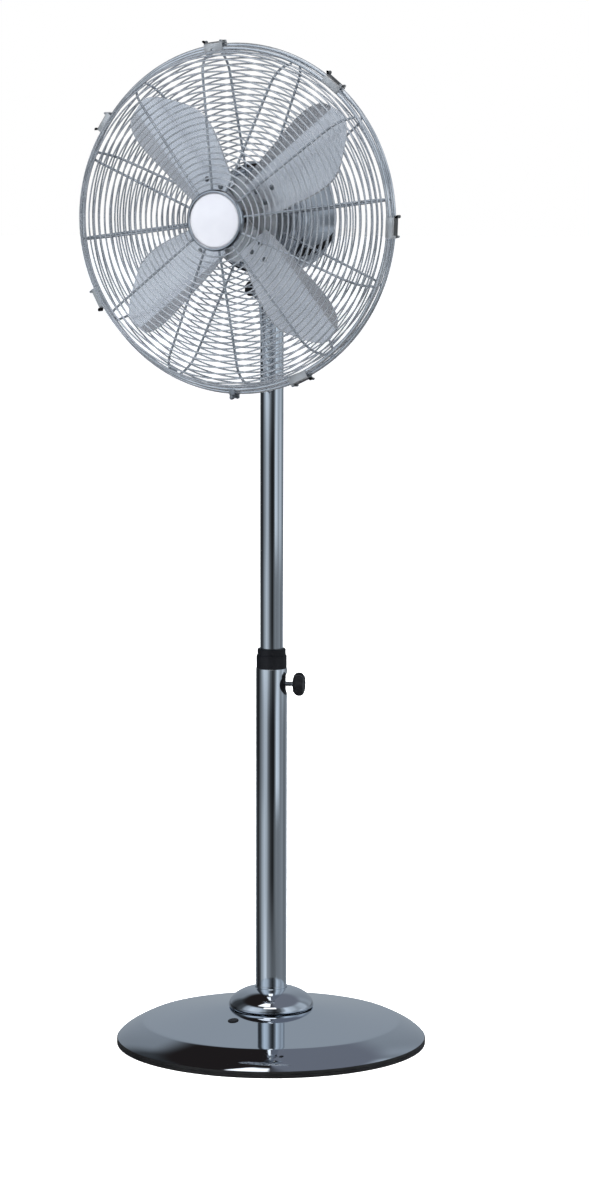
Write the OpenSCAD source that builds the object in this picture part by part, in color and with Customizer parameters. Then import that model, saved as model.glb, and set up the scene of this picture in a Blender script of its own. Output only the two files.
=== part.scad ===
// Pedestal fan with a chromed steel stand, a wire cage and four aluminium blades.
// +Z is up, the floor is z = 0 under the pole's axis, and the fan blows towards -Y.
// Head parts are drawn in head coordinates: x to the right and y up as seen from
// the front, z forward along the motor's shaft, with z = 0 on the pole's axis.

/* [Base] */
// Diameter of the rubber edge that stands on the floor
base_d = 378; // [370:2:390]
// Diameter of the crease where the dome turns down to the edge
crease_d = 314; // [304:2:320]
// Height of the crease above the floor
crease_h = 28; // [26:1:30]
// Height of the dome at the foot of the pole
dome_h = 45; // [44:0.5:46]

/* [Pole] */
// Outer diameter of the lower tube
lower_d = 38; // [38:0.5:39]
// Outer diameter of the upper tube
upper_d = 28; // [27:0.5:28]
// Height of the lower tube's top edge
lower_top = 463; // [440:1:500]
// Direction in which the height knob points, from the front towards the right
knob_azimuth = 104; // [0:1:180]
// Diameter of the height knob
knob_d = 29; // [24:1:34]

/* [Head] */
// Height of the motor's shaft above the floor
axis_h = 1007; // [1000:1:1060]
// Outer diameter of the motor housing
motor_d = 132; // [130:1:134]

/* [Cage] */
// Diameter of the rear hoop, the widest part of the cage
cage_d = 411; // [409:1:413]
// Diameter of the cap in the middle of the front guard
cap_d = 72; // [66:1:74]
// Diameter of the ring wires
ring_wire = 2; // [1.6:0.1:2.2]
// Diameter of the rib wires
rib_wire = 3; // [2.5:0.1:3.2]
// Diameter of the hoops
hoop_wire = 5; // [4.5:0.1:5.2]
// Number of ribs in each guard
rib_count = 12; // [8:1:16]
// Angle of the first rib above the horizontal
rib_phase = 7.5; // [0:0.5:30]
// Spacing of the ring wires along the ribs
ring_pitch = 7.2; // [6:0.1:9]

/* [Blades] */
// Number of blades
blade_count = 4; // [3:1:5]
// Direction of the first blade above the horizontal
blade_phase = 39; // [0:1:89]
// Distance from the shaft to the blade tips
blade_r = 184; // [176:1:185]
// Pitch of the blade's broad panel
blade_pitch = 7; // [4:1:12]
// Pitch of the bent strip along the trailing edge
strip_pitch = 24; // [14:1:28]

/* [Hidden] */
$fn = 96;
slip = 0.05;
seam = 0.1;
hair = 0.03;

// Base
base_r = base_d / 2;
crease_r = crease_d / 2;
edge_h = 8.2;
sheet = 1.2;
flat_r = 48;
plug_at = [77, -10.8];
bolt_circle = 32;

// Pole
lower_r = lower_d / 2;
upper_r = upper_d / 2;
tube_wall = 1.5;
lower_foot = dome_h + 5.2;
upper_foot = 400;
upper_top = 887;
stud_h = 444;
stud_r = 3;

// Neck and tilt
pivot_h = 921;
fork_r = 12.5;
fork_in = 9.8;
fork_out = 20;
tilt_pin_r = 3.5;
plate_h = pivot_h + 13;
post_r = 6;
swing_pin_at = [16, 0];
crank_at = [0, 27];
crank_throw = 9.5;
crank_angle = 13;

// Motor, as distances forward of the pole's axis
motor_r = motor_d / 2;
front_face = 50;
barrel_front = 36;
barrel_back = -38;
wall = 1.2;
shaft_r = 4;
boss_r = 12.4;
bearing_r = 12.3;

// Cage
rear_r = (cage_d - hoop_wire) / 2;
front_r = rear_r - 4;
rear_z = 98;
front_z = 105;
hub_r = 46;
blade_z = 98;
clip_angles = [97, 51, -2, -65, -152, 146.5];
clip_l = 24;
clip_w = 14.6;
clip_x = 0.2;
hinge_x = 2.5;
hinge_y = -clip_l / 2 + 2;
knuckle_l = 3;
lever_w = clip_w - 2 * knuckle_l - 0.4;
safety_angle = -90;

// Guard shapes in the plane of a rib: start, heading, straight, bend radius, turn, tail.
front_first = 8.6;
rear_first = 8;
front_shape = [[cap_d / 2 - 2.6, 151.3], -4.5, 135.6, 26, -72, 14.6];
rear_shape = [[hub_r - 2, 54.3], 6.2, 129.3, 30, 60, 10.6];

function heading(a) = [cos(a), sin(a)];
function left_of(a) = [-sin(a), cos(a)];
function bend_len(g) = g[3] * abs(g[4]) * PI / 180;
function guard_len(g) = g[2] + bend_len(g) + g[5];
function guard_turned(g, s) =
    g[1] + sign(g[4]) * min(abs(g[4]), max(0, (s - g[2]) / g[3] * 180 / PI));
function bend_point(g, a) = g[0] + g[2] * heading(g[1])
    + sign(g[4]) * g[3] * (left_of(g[1]) - left_of(a));
function guard_point(g, s) = bend_point(g, guard_turned(g, s))
    + (min(s, g[2]) - g[2] + max(0, s - g[2] - bend_len(g))) * heading(guard_turned(g, s));

function bezier(p, t) = pow(1 - t, 3) * p[0] + 3 * t * pow(1 - t, 2) * p[1]
    + 3 * t * t * (1 - t) * p[2] + pow(t, 3) * p[3];
function curve(p, n) = [for (i = [0 : n - 1]) bezier(p, i / n)];

// Places head coordinates in the fan's frame.
module head() {
    translate([0, 0, axis_h]) rotate([90, 0, 0]) children();
}

module tube(r_out, r_in, z0, z1) {
    translate([0, 0, z0]) difference() {
        cylinder(r = r_out, h = z1 - z0);
        translate([0, 0, -1]) cylinder(r = r_in, h = z1 - z0 + 2);
    }
}

module rod(r, z0, z1) {
    translate([0, 0, z0]) cylinder(r = r, h = z1 - z0);
}

// ---------- base ----------

dome_slope = atan((dome_h - crease_h) / (crease_r - flat_r));
function dome_at(r) = crease_h + (crease_r - r) * tan(dome_slope);
function rim_curve(t) = bezier([[crease_r, crease_h], [crease_r + 13, crease_h - 5.8],
    [base_r - 7, 16], [base_r - 0.7, edge_h + seam]], t);

module base_cover() color("lightsteelblue") difference() {
    rotate_extrude() polygon(concat(
        [[lower_r + 1, dome_h], [flat_r, dome_h]],
        [for (t = [0 : 0.125 : 1]) rim_curve(t)],
        [for (t = [1 : -0.125 : 0]) rim_curve(t) - [sheet * (0.35 + 0.65 * t), sheet * (1 - t)]],
        [[flat_r, dome_h - sheet], [lower_r + 1, dome_h - sheet]]));
    plug_place() rod(5.2, -10, 10);
    for (a = [0 : 90 : 270]) rotate(a + 45) translate([bolt_circle, 0, 0]) rod(3.4, 30, 60);
}

module base_edge() color([0.05, 0.05, 0.05]) rotate_extrude() polygon([
    [base_r - 9, 0], [base_r - 1, 0], [base_r, 1.2], [base_r, edge_h - 1],
    [base_r - 0.8, edge_h], [base_r - 9, edge_h]]);

module base_weight() color("dimgray") difference() {
    union() {
        tube(120, 14, 9, 15);
        tube(flat_r - 3, 14, 9, dome_h - sheet - seam);
    }
    for (a = [0 : 90 : 270]) rotate(a + 45) translate([bolt_circle, 0, 0]) rod(3.4, 0, 60);
}

module base_underplate() color("black") rod(base_r - 9.3, 0, 1.5);

module base_fasteners() color("silver") for (a = [0 : 90 : 270]) {
    rotate(a + 45) translate([bolt_circle, 0, 0]) {
        rod(3, 5, lower_foot - seam);
        translate([0, 0, 4]) cylinder(r = 5.6, h = 4.9, $fn = 6);
        rod(5.2, lower_foot - seam, lower_foot + 3.4);
    }
}

module plug_place() rotate(plug_at[1]) translate([0, -plug_at[0], dome_at(plug_at[0])])
    rotate([dome_slope, 0, 0]) children();

module base_plug() color("black") plug_place() {
    rod(5, -6, seam + 0.1);
    translate([0, 0, seam]) rotate_extrude() polygon([[0, 0], [6.6, 0], [6.6, 0.5], [5, 1.4], [0, 1.8]]);
}

function bell_outer(t) = bezier([[lower_r + 1.6, 68.6], [35, 67.5], [52.4, 58], [52, 46.2]], t);

module bell_cover() color("lightsteelblue") rotate_extrude() polygon(concat(
    [[lower_r + 0.1, 67.9], [lower_r + 0.1, 69]],
    [for (t = [0 : 0.1 : 1]) bell_outer(t)],
    [for (t = [1 : -0.1 : 0]) bell_outer(t) - [0.25 + 0.75 * t, 1 - t]]));

module pole_foot() color("gray") difference() {
    union() {
        rod(42, dome_h + seam, lower_foot - seam);
        rod(lower_r - tube_wall - slip, lower_foot - seam, 95);
    }
    rod(13, 40, 100);
    for (a = [0 : 90 : 270]) rotate(a + 45) translate([bolt_circle, 0, 0]) rod(3.3, 30, 60);
}

// ---------- pole ----------

// Turns a shape drawn along +Z to point out of the pole at the height stud.
module stud_place() translate([0, 0, stud_h]) rotate([0, 0, knob_azimuth - 90])
    rotate([0, 90, 0]) children();

module lower_tube() color("silver") difference() {
    tube(lower_r, lower_r - tube_wall, lower_foot, lower_top);
    stud_place() rod(14, 5, 30);
}

module tube_bushing() color([0.06, 0.06, 0.07]) difference() {
    union() {
        rod(lower_r - tube_wall - slip, lower_top - 40, lower_top + 0.1);
        rod(lower_r - 0.5, lower_top + seam, lower_top + 15.3);
        rod(lower_r - 1.3, lower_top + 15.3, lower_top + 16.2);
        rod(lower_r - 1.7, lower_top + 16, lower_top + 23);
        rod(lower_r - 2.4, lower_top + 22.5, lower_top + 24);
    }
    rod(upper_r + slip, 0, 800);
    stud_place() translate([-5, -5, 12]) cube([10, 10, 4.3]);
    stud_place() rod(stud_r + 0.3, 10, 30);
}

module clamp_nut() color("silver") stud_place() difference() {
    translate([-4.8, -4.8, upper_r + 0.4]) cube([9.6, 9.6, 1.8]);
    rod(stud_r + slip, 10, 20);
}

module height_knob() color([0.05, 0.05, 0.06]) stud_place() difference() {
    translate([0, 0, 27]) rotate_extrude() polygon([[0, 0], [7.5, 0], [knob_d / 2 - 2.5, 1.2],
        [knob_d / 2 - 0.4, 4.2], [knob_d / 2, 7], [knob_d / 2 - 0.6, 10], [knob_d / 2 - 3, 12.6],
        [7, 13.6], [0, 13.8]]);
    for (a = [0 : 45 : 315]) rotate(a) translate([knob_d / 2 + 1.6, 0, 26]) cylinder(r = 2.9, h = 16);
    rod(stud_r, 26, 36);
}

module height_stud() color("silver") stud_place() rod(stud_r, upper_r + 0.15, 35.9);

module upper_tube() color("silver") tube(upper_r, upper_r - tube_wall, upper_foot, upper_top);

module tube_glide() color("white") {
    tube(lower_r - tube_wall - slip, upper_r + 0.02, upper_foot - 3, upper_foot + 12);
    tube(lower_r - tube_wall - 1.2, 9, upper_foot - 6, upper_foot - 3);
}

// ---------- neck, tilt and swing ----------

module along_tilt(r, x0, x1) translate([x0, 0, pivot_h]) rotate([0, 90, 0]) cylinder(r = r, h = x1 - x0);

module neck() color("silver") difference() {
    union() {
        rod(upper_r - tube_wall - slip, upper_top - 40, upper_top + 1);
        rotate_extrude() polygon([[0, upper_top + seam], [upper_r + 0.2, upper_top + seam],
            [upper_r + 0.2, pivot_h - 20], [upper_r + 2.5, pivot_h - 16], [fork_out, pivot_h - 9],
            [fork_out, pivot_h - 6], [0, pivot_h - 6]]);
        for (x = [-fork_out, fork_in]) {
            along_tilt(fork_r, x, x + fork_out - fork_in);
            translate([x, -fork_r, pivot_h - 9]) cube([fork_out - fork_in, 2 * fork_r, 9]);
        }
    }
    translate([-fork_in, -40, pivot_h - fork_r]) cube([2 * fork_in, 80, 60]);
    along_tilt(tilt_pin_r + slip, -40, 40);
    rod(7, upper_top - 50, pivot_h - 12);
}

module tilt_bracket() color("silver") difference() {
    union() {
        along_tilt(11.5, -fork_in + 0.15, fork_in - 0.15);
        translate([-fork_in + 0.15, -9, pivot_h]) cube([2 * fork_in - 0.3, 18, plate_h - pivot_h + 0.5]);
        rod(24, plate_h, plate_h + 3);
        rod(post_r, plate_h + 2, plate_h + 26);
        translate([swing_pin_at[0], swing_pin_at[1], plate_h + 2]) cylinder(r = 2, h = 4.5);
    }
    along_tilt(tilt_pin_r + slip, -40, 40);
    rod(3, plate_h + 6, plate_h + 30);
}

module tilt_stud() color("silver") {
    along_tilt(tilt_pin_r, -24, fork_out + 4.6);
    translate([fork_out + seam, 0, pivot_h]) rotate([0, 90, 0]) cylinder(r = 6.2, h = 4.5, $fn = 6);
}

module tilt_knob() color([0.05, 0.05, 0.06]) difference() {
    translate([-fork_out - seam, 0, pivot_h]) rotate([0, -90, 0]) rotate_extrude() polygon([
        [0, 0], [5, 0], [5, 2.4], [7.6, 3.2], [8.8, 5], [8.8, 10.8], [7.4, 13.2], [0, 14.2]]);
    along_tilt(tilt_pin_r + slip, -24.1, 0);
    for (a = [0 : 60 : 300]) translate([0, 0, pivot_h]) rotate([a, 0, 0])
        translate([-fork_out - 15, 10, 0]) rotate([0, 90, 0]) cylinder(r = 1.9, h = 12);
}

// The link joins the fixed pin on the bracket to the crank under the motor.
link_z = plate_h + 3.5;
crank_pin_at = crank_at + crank_throw * heading(crank_angle);
link_vector = crank_pin_at - swing_pin_at;
link_angle = atan2(link_vector[1], link_vector[0]);

module swing_link() color("gray") difference() {
    translate([swing_pin_at[0], swing_pin_at[1], link_z]) rotate(link_angle) {
        cylinder(r = 3.6, h = 1.8);
        translate([norm(link_vector), 0, 0]) cylinder(r = 3.6, h = 1.8);
        translate([0, -2, 0]) cube([norm(link_vector), 4, 1.8]);
    }
    translate([swing_pin_at[0], swing_pin_at[1], link_z - 1]) cylinder(r = 2 + slip, h = 4);
    translate([crank_pin_at[0], crank_pin_at[1], link_z - 1]) cylinder(r = 2 + slip, h = 4);
}

module crank_gear() color("white") translate([crank_at[0], crank_at[1], link_z]) {
    rotate(crank_angle) translate([crank_throw, 0, 1.95]) cylinder(r = 2, h = 1);
    translate([0, 0, 2.4]) {
        cylinder(r = 12, h = 2);
        for (a = [0 : 15 : 345]) rotate(a) translate([11.5, -0.8, 0]) cube([1.6, 1.6, 2]);
        cylinder(r = 3, h = 9);
    }
}

// ---------- motor ----------

spindle_at = [17.2, crank_at[1]];
switch_y = -23;

// The front of the housing is a shallow dish that the rear guard sits against.
module motor_front_cover() color("silver") head() difference() {
    rotate_extrude() polygon([[8.1, 46.2], [8.1, 63], [boss_r, 63], [boss_r, 51], [16, 51],
        [16, front_face + 0.6], [52, front_face], [60, front_face - 2.2], [64.6, front_face - 7],
        [motor_r, barrel_front + 4], [motor_r, barrel_front], [motor_r - wall, barrel_front],
        [motor_r - wall, barrel_front + 3.6], [63.4, front_face - 7.4], [59.2, front_face - 3.4],
        [51.6, front_face - wall], [14, front_face - wall + 0.4], [14, 37], [bearing_r + slip, 37],
        [bearing_r + slip, 46.2]]);
    bolt_places() rod(2.3, 30, 60);
}

// A vent along each side of the housing, seen from the side as distance forward and
// height. It runs level under the barrel and rises towards the rear cap.
vent_top = [[31, -34.5], [10, -34], [-9, -31.5], [-22, -27], [-33, -20.5], [-42, -13.5], [-49, -8]];
vent_bottom = [[-49, -19], [-38, -31], [-27, -39], [-9, -43.5], [10, -45], [31, -45.5]];

module vents() rotate([0, -90, 0]) for (z = [-90, 40])
    translate([0, 0, z]) linear_extrude(height = 50) polygon(concat(vent_top, vent_bottom));

module motor_barrel() color("silver") head() difference() {
    tube(motor_r, motor_r - wall, barrel_back + seam, barrel_front - seam);
    vents();
    translate([0, 0, -13]) rotate([90, 0, 0]) rod(27.5, 40, 80);
    rotate([-90, 0, 0]) translate([0, crank_at[1], 0]) rod(4.2, 40, 80);
}

module vent_liner() color("black") head() difference() {
    rotate_extrude() polygon([[motor_r - 1.5, 34], [motor_r - 3.5, 34], [motor_r - 3.5, -40],
        [motor_r - 6.4, -46], [motor_r - 4.6, -46.4], [motor_r - 1.8, -40.4]]);
    translate([0, 0, -30]) rotate([90, 0, 0]) rod(24, 40, 80);
    translate([0, 0, -13]) rotate([90, 0, 0]) rod(28, 40, 80);
    rotate([-90, 0, 0]) translate([0, crank_at[1], 0]) rod(4.2, 40, 80);
}

function rear_curve(t) = bezier([[motor_r, -38], [motor_r, -52], [48, -58], [24, -60]], t);

module motor_rear_cap() color("silver") head() difference() {
    rotate_extrude() polygon(concat([[0, -60]],
        [for (t = [1 : -0.1 : 0]) rear_curve(t)],
        [[motor_r - wall, barrel_back]],
        [for (t = [0.1 : 0.1 : 1]) rear_curve(t) + [-wall * (1 - t), wall * t]],
        [[0, -60 + wall]]));
    vents();
    translate([0, 0, -30]) rotate([90, 0, 0]) rod(24, 40, 80);
    translate([0, switch_y, -70]) rod(3.6, 0, 30);
    gland_place() rod(5.2, -12, 12);
    gland_place() rod(7.6, 2.9, 20);
    for (a = [0 : 1 : 4]) for (s = [-1, 1]) translate([s * 24 - 10, 8 + 7 * a, -70]) cube([20, 3, 20]);
}

module bolt_places() for (a = [45 : 90 : 315]) rotate(a) translate([50, 0, 0]) children();

module motor_bolts() color("gray") head() bolt_places() {
    rod(2, -31, front_face + 0.3);
    rod(3.8, front_face + 0.3, front_face + 1.5);
}

module stator() color("darkgray") head() difference() {
    rod(46, -4, 26);
    rod(28, -5, 27);
    for (a = [0 : 22.5 : 337.5]) rotate(a) translate([34, 0, -5]) cylinder(r = 2.6, h = 32);
}

module windings() color([0.72, 0.4, 0.16]) head() for (z = [-10, 32])
    translate([0, 0, z]) rotate_extrude() translate([37, 0]) circle(r = 5.6, $fn = 48);

module bearings() color([0.8, 0.6, 0.3]) head() {
    tube(bearing_r, shaft_r + slip, 37, 46.1);
    tube(9, shaft_r + slip, -17, -9);
}

module gear_case() color("gray") head() difference() {
    union() {
        tube(12, 9 + slip, -20, -9);
        translate([0, 0, -30]) tube(56, 44, -2, 2);
        for (a = [45 : 90 : 315]) rotate(a) translate([9, -4.5, -32]) cube([38, 9, 4]);
        for (a = [45 : 90 : 315]) rotate(a) translate([9.5, -3, -30]) cube([6, 6, 14]);
        rotate([90, 0, 0]) tube(13, post_r + slip, 43.2, 66.4);
        translate([-8, -52, -32]) cube([16, 10, 20]);
    }
    rotate([90, 0, 0]) rod(post_r + slip, 40, 80);
    rod(46.2, -4.2, 26.2);
    rotate([-90, 0, 0]) translate([crank_at[0], crank_at[1], 0]) {
        rod(3.2, -90, 90);
        rod(14, -axis_h + link_z + 2, -axis_h + link_z + 6);
    }
    rotate([-90, 0, 0]) translate([spindle_at[0], spindle_at[1], 0]) {
        rod(4.5, -90, 60);
        rod(13.2, -3.8, 3.8);
    }
    bolt_places() rod(2.05, -40, 0);
    rod(shaft_r + 1.5, -60, 0);
}

module capacitor() color([0.85, 0.85, 0.82]) head() translate([-44, 0, -44]) rotate([90, 0, 0]) rod(8.5, -15, 15);

module speed_switch() color([0.12, 0.12, 0.12]) head() difference() {
    translate([-15, switch_y - 11, -55]) cube([30, 22, 14]);
    translate([0, switch_y, -60]) rod(3 + slip, 0, 9);
}

module gland_place() translate([0, -46, -52]) rotate([125, 0, 0]) children();

module cable_gland() color([0.06, 0.06, 0.06]) head() gland_place() difference() {
    union() {
        rod(5, -5, 6);
        rod(7.5, 3, 8);
        rotate_extrude() polygon([[0, 8], [5.5, 8], [4.4, 16], [0, 16]]);
    }
    rod(3, -6, 20);
}

module switch_knob() color([0.06, 0.06, 0.06]) head() translate([0, switch_y, 0]) {
    rod(3, -60, -52);
    difference() {
        rotate_extrude() polygon([[0, -72], [9, -72], [10.5, -70.5], [11.5, -61.5], [0, -61.5]]);
        for (a = [0 : 30 : 330]) rotate(a) translate([12.6, 0, -73]) cylinder(r = 1.6, h = 14);
        translate([-0.7, 4, -73]) cube([1.4, 8, 2]);
    }
}

// The knob on top of the motor is pulled up to stop the swing.
module swing_knob() color([0.06, 0.06, 0.06]) translate([crank_at[0], crank_at[1], axis_h]) {
    rod(3, 22, 74);
    rotate_extrude() polygon([[0, 68], [5, 68], [7, 71], [9.4, 72.5], [10, 75], [10, 83],
        [8.6, 85], [0, 86]]);
}

// ---------- turning parts ----------

module shaft() color("silver") head() {
    rod(shaft_r, -38, 124);
    for (z = [-32.5 : 2.2 : -21]) translate([0, 0, z]) rotate_extrude() translate([shaft_r, 0])
        circle(r = 0.8, $fn = 24);
}

module rotor_core() color("darkgray") head() {
    tube(27.5, shaft_r, -4, 26);
    for (z = [-7, 26]) tube(26, 18, z, z + 3);
}

module worm_spindle() color("white") translate([spindle_at[0], spindle_at[1], 0]) {
    rod(2.5, link_z + 2.4, axis_h + 12);
    rod(11, axis_h - 3, axis_h + 3);
    for (a = [0 : 15 : 345]) rotate(a) translate([10.5, -0.6, axis_h - 3]) cube([1.3, 1.2, 6]);
    rod(3.2, link_z + 2.4, link_z + 4.4);
}

module blade_hub() color([0.62, 0.64, 0.67]) head() difference() {
    union() {
        rod(12, blade_z - 14, blade_z + 1);
        rod(14, blade_z - 3.2, blade_z - 1.2);
        rod(50, blade_z - 7.4, blade_z - 6);
        for (k = [0 : blade_count - 1]) rotate(blade_phase + k * 360 / blade_count)
            translate([0, 0, blade_z]) rotate([blade_pitch, 0, 0])
                translate([8, -13, -2.4]) cube([64, 26, 1.5]);
    }
    rod(shaft_r + 0.02, 50, 140);
    for (k = [0 : blade_count - 1]) rotate(blade_phase + k * 360 / blade_count)
        translate([0, 0, blade_z]) rivet_places() rod(2.1, -5, 5);
}

// Outline of a blade seen along the shaft, x outwards and y towards the trailing edge.
blade_outline = concat(
    curve([[34, 24], [58, 32], [88, 33], [118, 37.5]], 6),
    curve([[118, 37.5], [150, 42], [178, 44], [blade_r - 1, 18]], 10),
    curve([[blade_r - 1, 18], [blade_r + 3, -4], [160, -22], [142, -34.5]], 8),
    curve([[142, -34.5], [116, -52], [76, -33], [34, -23]], 10));

strip_at = 22;

function camber(y) = y * tan(blade_pitch) - y * y / 900;
function section(y) = y < strip_at ? camber(y)
    : camber(strip_at) + (y - strip_at) * tan(strip_pitch);

module blade() intersection() {
    translate([30, 0, 0]) rotate([90, 0, 90]) linear_extrude(height = 160) polygon(concat(
        [for (y = [-46, -36, -26, -16, -6, 6, strip_at, 46]) [y, section(y) + 0.6]],
        [for (y = [46, strip_at, 6, -6, -16, -26, -36, -46]) [y, section(y) - 0.6]]));
    translate([0, 0, -30]) linear_extrude(height = 60) polygon(blade_outline);
}

module blades() color([0.72, 0.74, 0.78]) head() for (k = [0 : blade_count - 1])
    rotate(blade_phase + k * 360 / blade_count) translate([0, 0, blade_z]) difference() {
        blade();
        rivet_places() rod(2.1, -10, 10);
    }

// Rivet coordinates stand square to the blade's broad panel.
module rivet_places() for (p = [[42, -8], [42, 8], [60, 0]])
    translate([p[0], p[1], camber(p[1])]) rotate([blade_pitch, 0, 0]) children();

module rivets() color("silver") head() for (k = [0 : blade_count - 1])
    rotate(blade_phase + k * 360 / blade_count) translate([0, 0, blade_z]) rivet_places() {
        rod(2, -2.45, 0.9);
        translate([0, 0, 0.75]) rotate_extrude() polygon([[0, 0], [3.2, 0], [2.6, 1], [0, 1.5]]);
        rotate_extrude() polygon([[0, -3.4], [2.8, -2.45], [0, -2.45]]);
    }

module spinner() color([0.1, 0.1, 0.1]) head() difference() {
    rotate_extrude() polygon([[0, blade_z + 1.2], [14, blade_z + 1.2], [15, blade_z + 2.4],
        [15, blade_z + 23], [12, blade_z + 28], [0, blade_z + 29.5]]);
    rod(shaft_r + 0.02, 50, 124.1);
    for (a = [0 : 45 : 315]) rotate(a) translate([16.6, 0, blade_z + 5]) cylinder(r = 2.6, h = 15);
}

// ---------- cage ----------

// One rib: a straight stretch, a bend and a tail, end to end with a hair between them.
module rib(g) {
    heading_end = g[1] + g[4];
    bend_start = g[0] + g[2] * heading(g[1]);
    bend_end = guard_point(g, g[2] + bend_len(g));
    centre = bend_start + sign(g[4]) * g[3] * left_of(g[1]);
    rotate([90, 0, 0]) {
        translate([g[0][0], g[0][1], 0]) rotate(g[1]) rotate([0, 90, 0])
            cylinder(r = rib_wire / 2, h = g[2] - hair);
        translate([bend_end[0], bend_end[1], 0]) rotate(heading_end) rotate([0, 90, 0])
            translate([0, 0, hair]) cylinder(r = rib_wire / 2, h = g[5] - hair);
        translate([centre[0], centre[1], 0])
            rotate(sign(g[4]) > 0 ? g[1] - 90 : g[1] + g[4] + 90)
                rotate_extrude(angle = abs(g[4])) translate([g[3], 0]) circle(r = rib_wire / 2, $fn = 24);
    }
}

module ribs(g) for (k = [0 : rib_count - 1]) rotate(rib_phase + k * 360 / rib_count) rib(g);

// Ring wires lie on the outer side of the ribs, a hair clear of them. The face rings sit
// on the ribs' straight stretch, and the side rings follow the bend round to the hoop.
function ring_split(g, first) = first + ring_pitch * floor((g[2] - 2 - first) / ring_pitch) + 0.01;

module rings(g, side, s0, s1) {
    off = side * (rib_wire / 2 + ring_wire / 2 + slip);
    for (s = [s0 : ring_pitch : s1]) {
        p = guard_point(g, s) + off * left_of(guard_turned(g, s));
        translate([0, 0, p[1]]) rotate_extrude() translate([p[0], 0]) circle(r = ring_wire / 2, $fn = 24);
    }
}

module hoop(r, z) translate([0, 0, z]) rotate_extrude() translate([r, 0]) circle(r = hoop_wire / 2, $fn = 32);

module rear_ribs() color("silver") head() {
    ribs(rear_shape);
    difference() {
        tube(hub_r, boss_r + 0.2, 51.1, 52.7);
        for (a = [0 : 60 : 300]) rotate(a) translate([36, 0, 50]) cylinder(r = 3, h = 10);
    }
}

module rear_face_rings() color("silver") head()
    rings(rear_shape, -1, rear_first, ring_split(rear_shape, rear_first));

module rear_side_rings() color("silver") head()
    rings(rear_shape, -1, ring_split(rear_shape, rear_first) + ring_pitch - 0.01, guard_len(rear_shape) - 5);

module rear_hoop() color([0.86, 0.87, 0.9]) head() hoop(rear_r, rear_z);

module guard_nut() color([0.08, 0.08, 0.09]) head() difference() {
    union() {
        rod(20, 52.8, 65);
        rod(27, 52.8, 56.2);
        for (a = [0 : 45 : 315]) rotate(a) translate([17, -2, 52.8]) cube([8.5, 4, 11]);
    }
    rod(boss_r + 0.1, 50, 70);
}

module front_ribs() color("silver") head() {
    ribs(front_shape);
    rod(cap_d / 2 - 0.6, 147.9, 149.5);
}

module front_face_rings() color("silver") head()
    rings(front_shape, 1, front_first, ring_split(front_shape, front_first));

module front_rim() color("silver") head() {
    rings(front_shape, 1, ring_split(front_shape, front_first) + ring_pitch - 0.01,
        guard_len(front_shape) - 5);
    hoop(front_r, front_z);
}

cap_r = cap_d / 2;

module cap_bezel() color("silver") head() rotate_extrude() polygon([
    [cap_r - 4.4, 149.6], [cap_r - 4.4, 155.4], [cap_r - 3.2, 156.6], [cap_r - 1.4, 156.2],
    [cap_r, 154.6], [cap_r + 0.3, 153.2], [cap_r - 2.6, 153.2], [cap_r - 3.4, 152.6],
    [cap_r - 3.4, 149.6]]);

module cap_plate() color([0.93, 0.93, 0.95]) head() rotate_extrude() polygon([
    [0, 150.4], [cap_r - 4.5, 150.4], [cap_r - 4.5, 155], [24, 156], [12, 156.5], [0, 156.7]]);

// ---------- cage clips ----------

// Clip coordinates: x outwards, y along the rim, z forward.
module clip_place(a) head() rotate(a) translate([rear_r + hoop_wire / 2, 0, (rear_z + front_z) / 2]) children();

// The channel straddles both hoops. Its front flange is notched where a rib passes.
module clip_channels() color("lightgray") {
    difference() {
        for (a = clip_angles) clip_place(a) {
            translate([clip_x, -clip_l / 2, -clip_w / 2]) cube([1, clip_l, clip_w]);
            translate([-8.5, -clip_l / 2, clip_w / 2 - 1]) cube([9.5, clip_l, 1]);
            translate([-2.2, -clip_l / 2, -clip_w / 2]) cube([3.2, clip_l, 1]);
        }
        head() for (k = [0 : rib_count - 1]) rotate(rib_phase + k * 360 / rib_count)
            translate([front_r - 9, -1.9, front_z]) cube([10.2, 3.8, 8]);
    }
    for (a = clip_angles) clip_place(a) for (z = [-clip_w / 2, clip_w / 2 - knuckle_l])
        translate([hinge_x, hinge_y, z]) difference() {
            union() {
                cylinder(r = 1.5, h = knuckle_l);
                translate([clip_x - hinge_x + 0.5, -1.5, 0]) cube([hinge_x - clip_x - 0.5, 3, knuckle_l]);
            }
            translate([0, 0, -1]) cylinder(r = 0.65 + slip, h = knuckle_l + 2);
        }
}

module clip_lever(k) color("lightgray") clip_place(clip_angles[k]) translate([hinge_x, hinge_y, 0]) {
    translate([0, 0, -clip_w / 2 + 0.2]) cylinder(r = 0.65, h = clip_w - 0.4);
    translate([0, 0, -lever_w / 2]) {
        cylinder(r = 1.2, h = lever_w);
        translate([-1.15, 0, 0]) cube([1, clip_l - 1.5, lever_w]);
        translate([0.75, clip_l - 0.5, 0]) cylinder(r = 2, h = lever_w);
    }
}

module clip_lever_1() clip_lever(0);
module clip_lever_2() clip_lever(1);
module clip_lever_3() clip_lever(2);
module clip_lever_4() clip_lever(3);
module clip_lever_5() clip_lever(4);
module clip_lever_6() clip_lever(5);

module safety_screw() color("gray") clip_place(safety_angle) {
    translate([clip_x, -3.5, -clip_w / 2]) cube([1, 7, clip_w]);
    translate([-6, -3.5, clip_w / 2 - 1]) cube([7, 7, 1]);
    translate([-2.2, -3.5, -clip_w / 2]) cube([3.2, 7, 1]);
    translate([3.2, 0, 0]) {
        translate([0, 0, -8]) cylinder(r = 1.5, h = 16);
        translate([0, 0, 7]) cylinder(r = 2.8, h = 2);
        translate([0, 0, -9]) cylinder(r = 2.9, h = 2.4, $fn = 6);
        for (z = [-6, 4.8]) translate([-2.6, -2.5, z]) cube([4.6, 5, 1.2]);
    }
}

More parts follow.
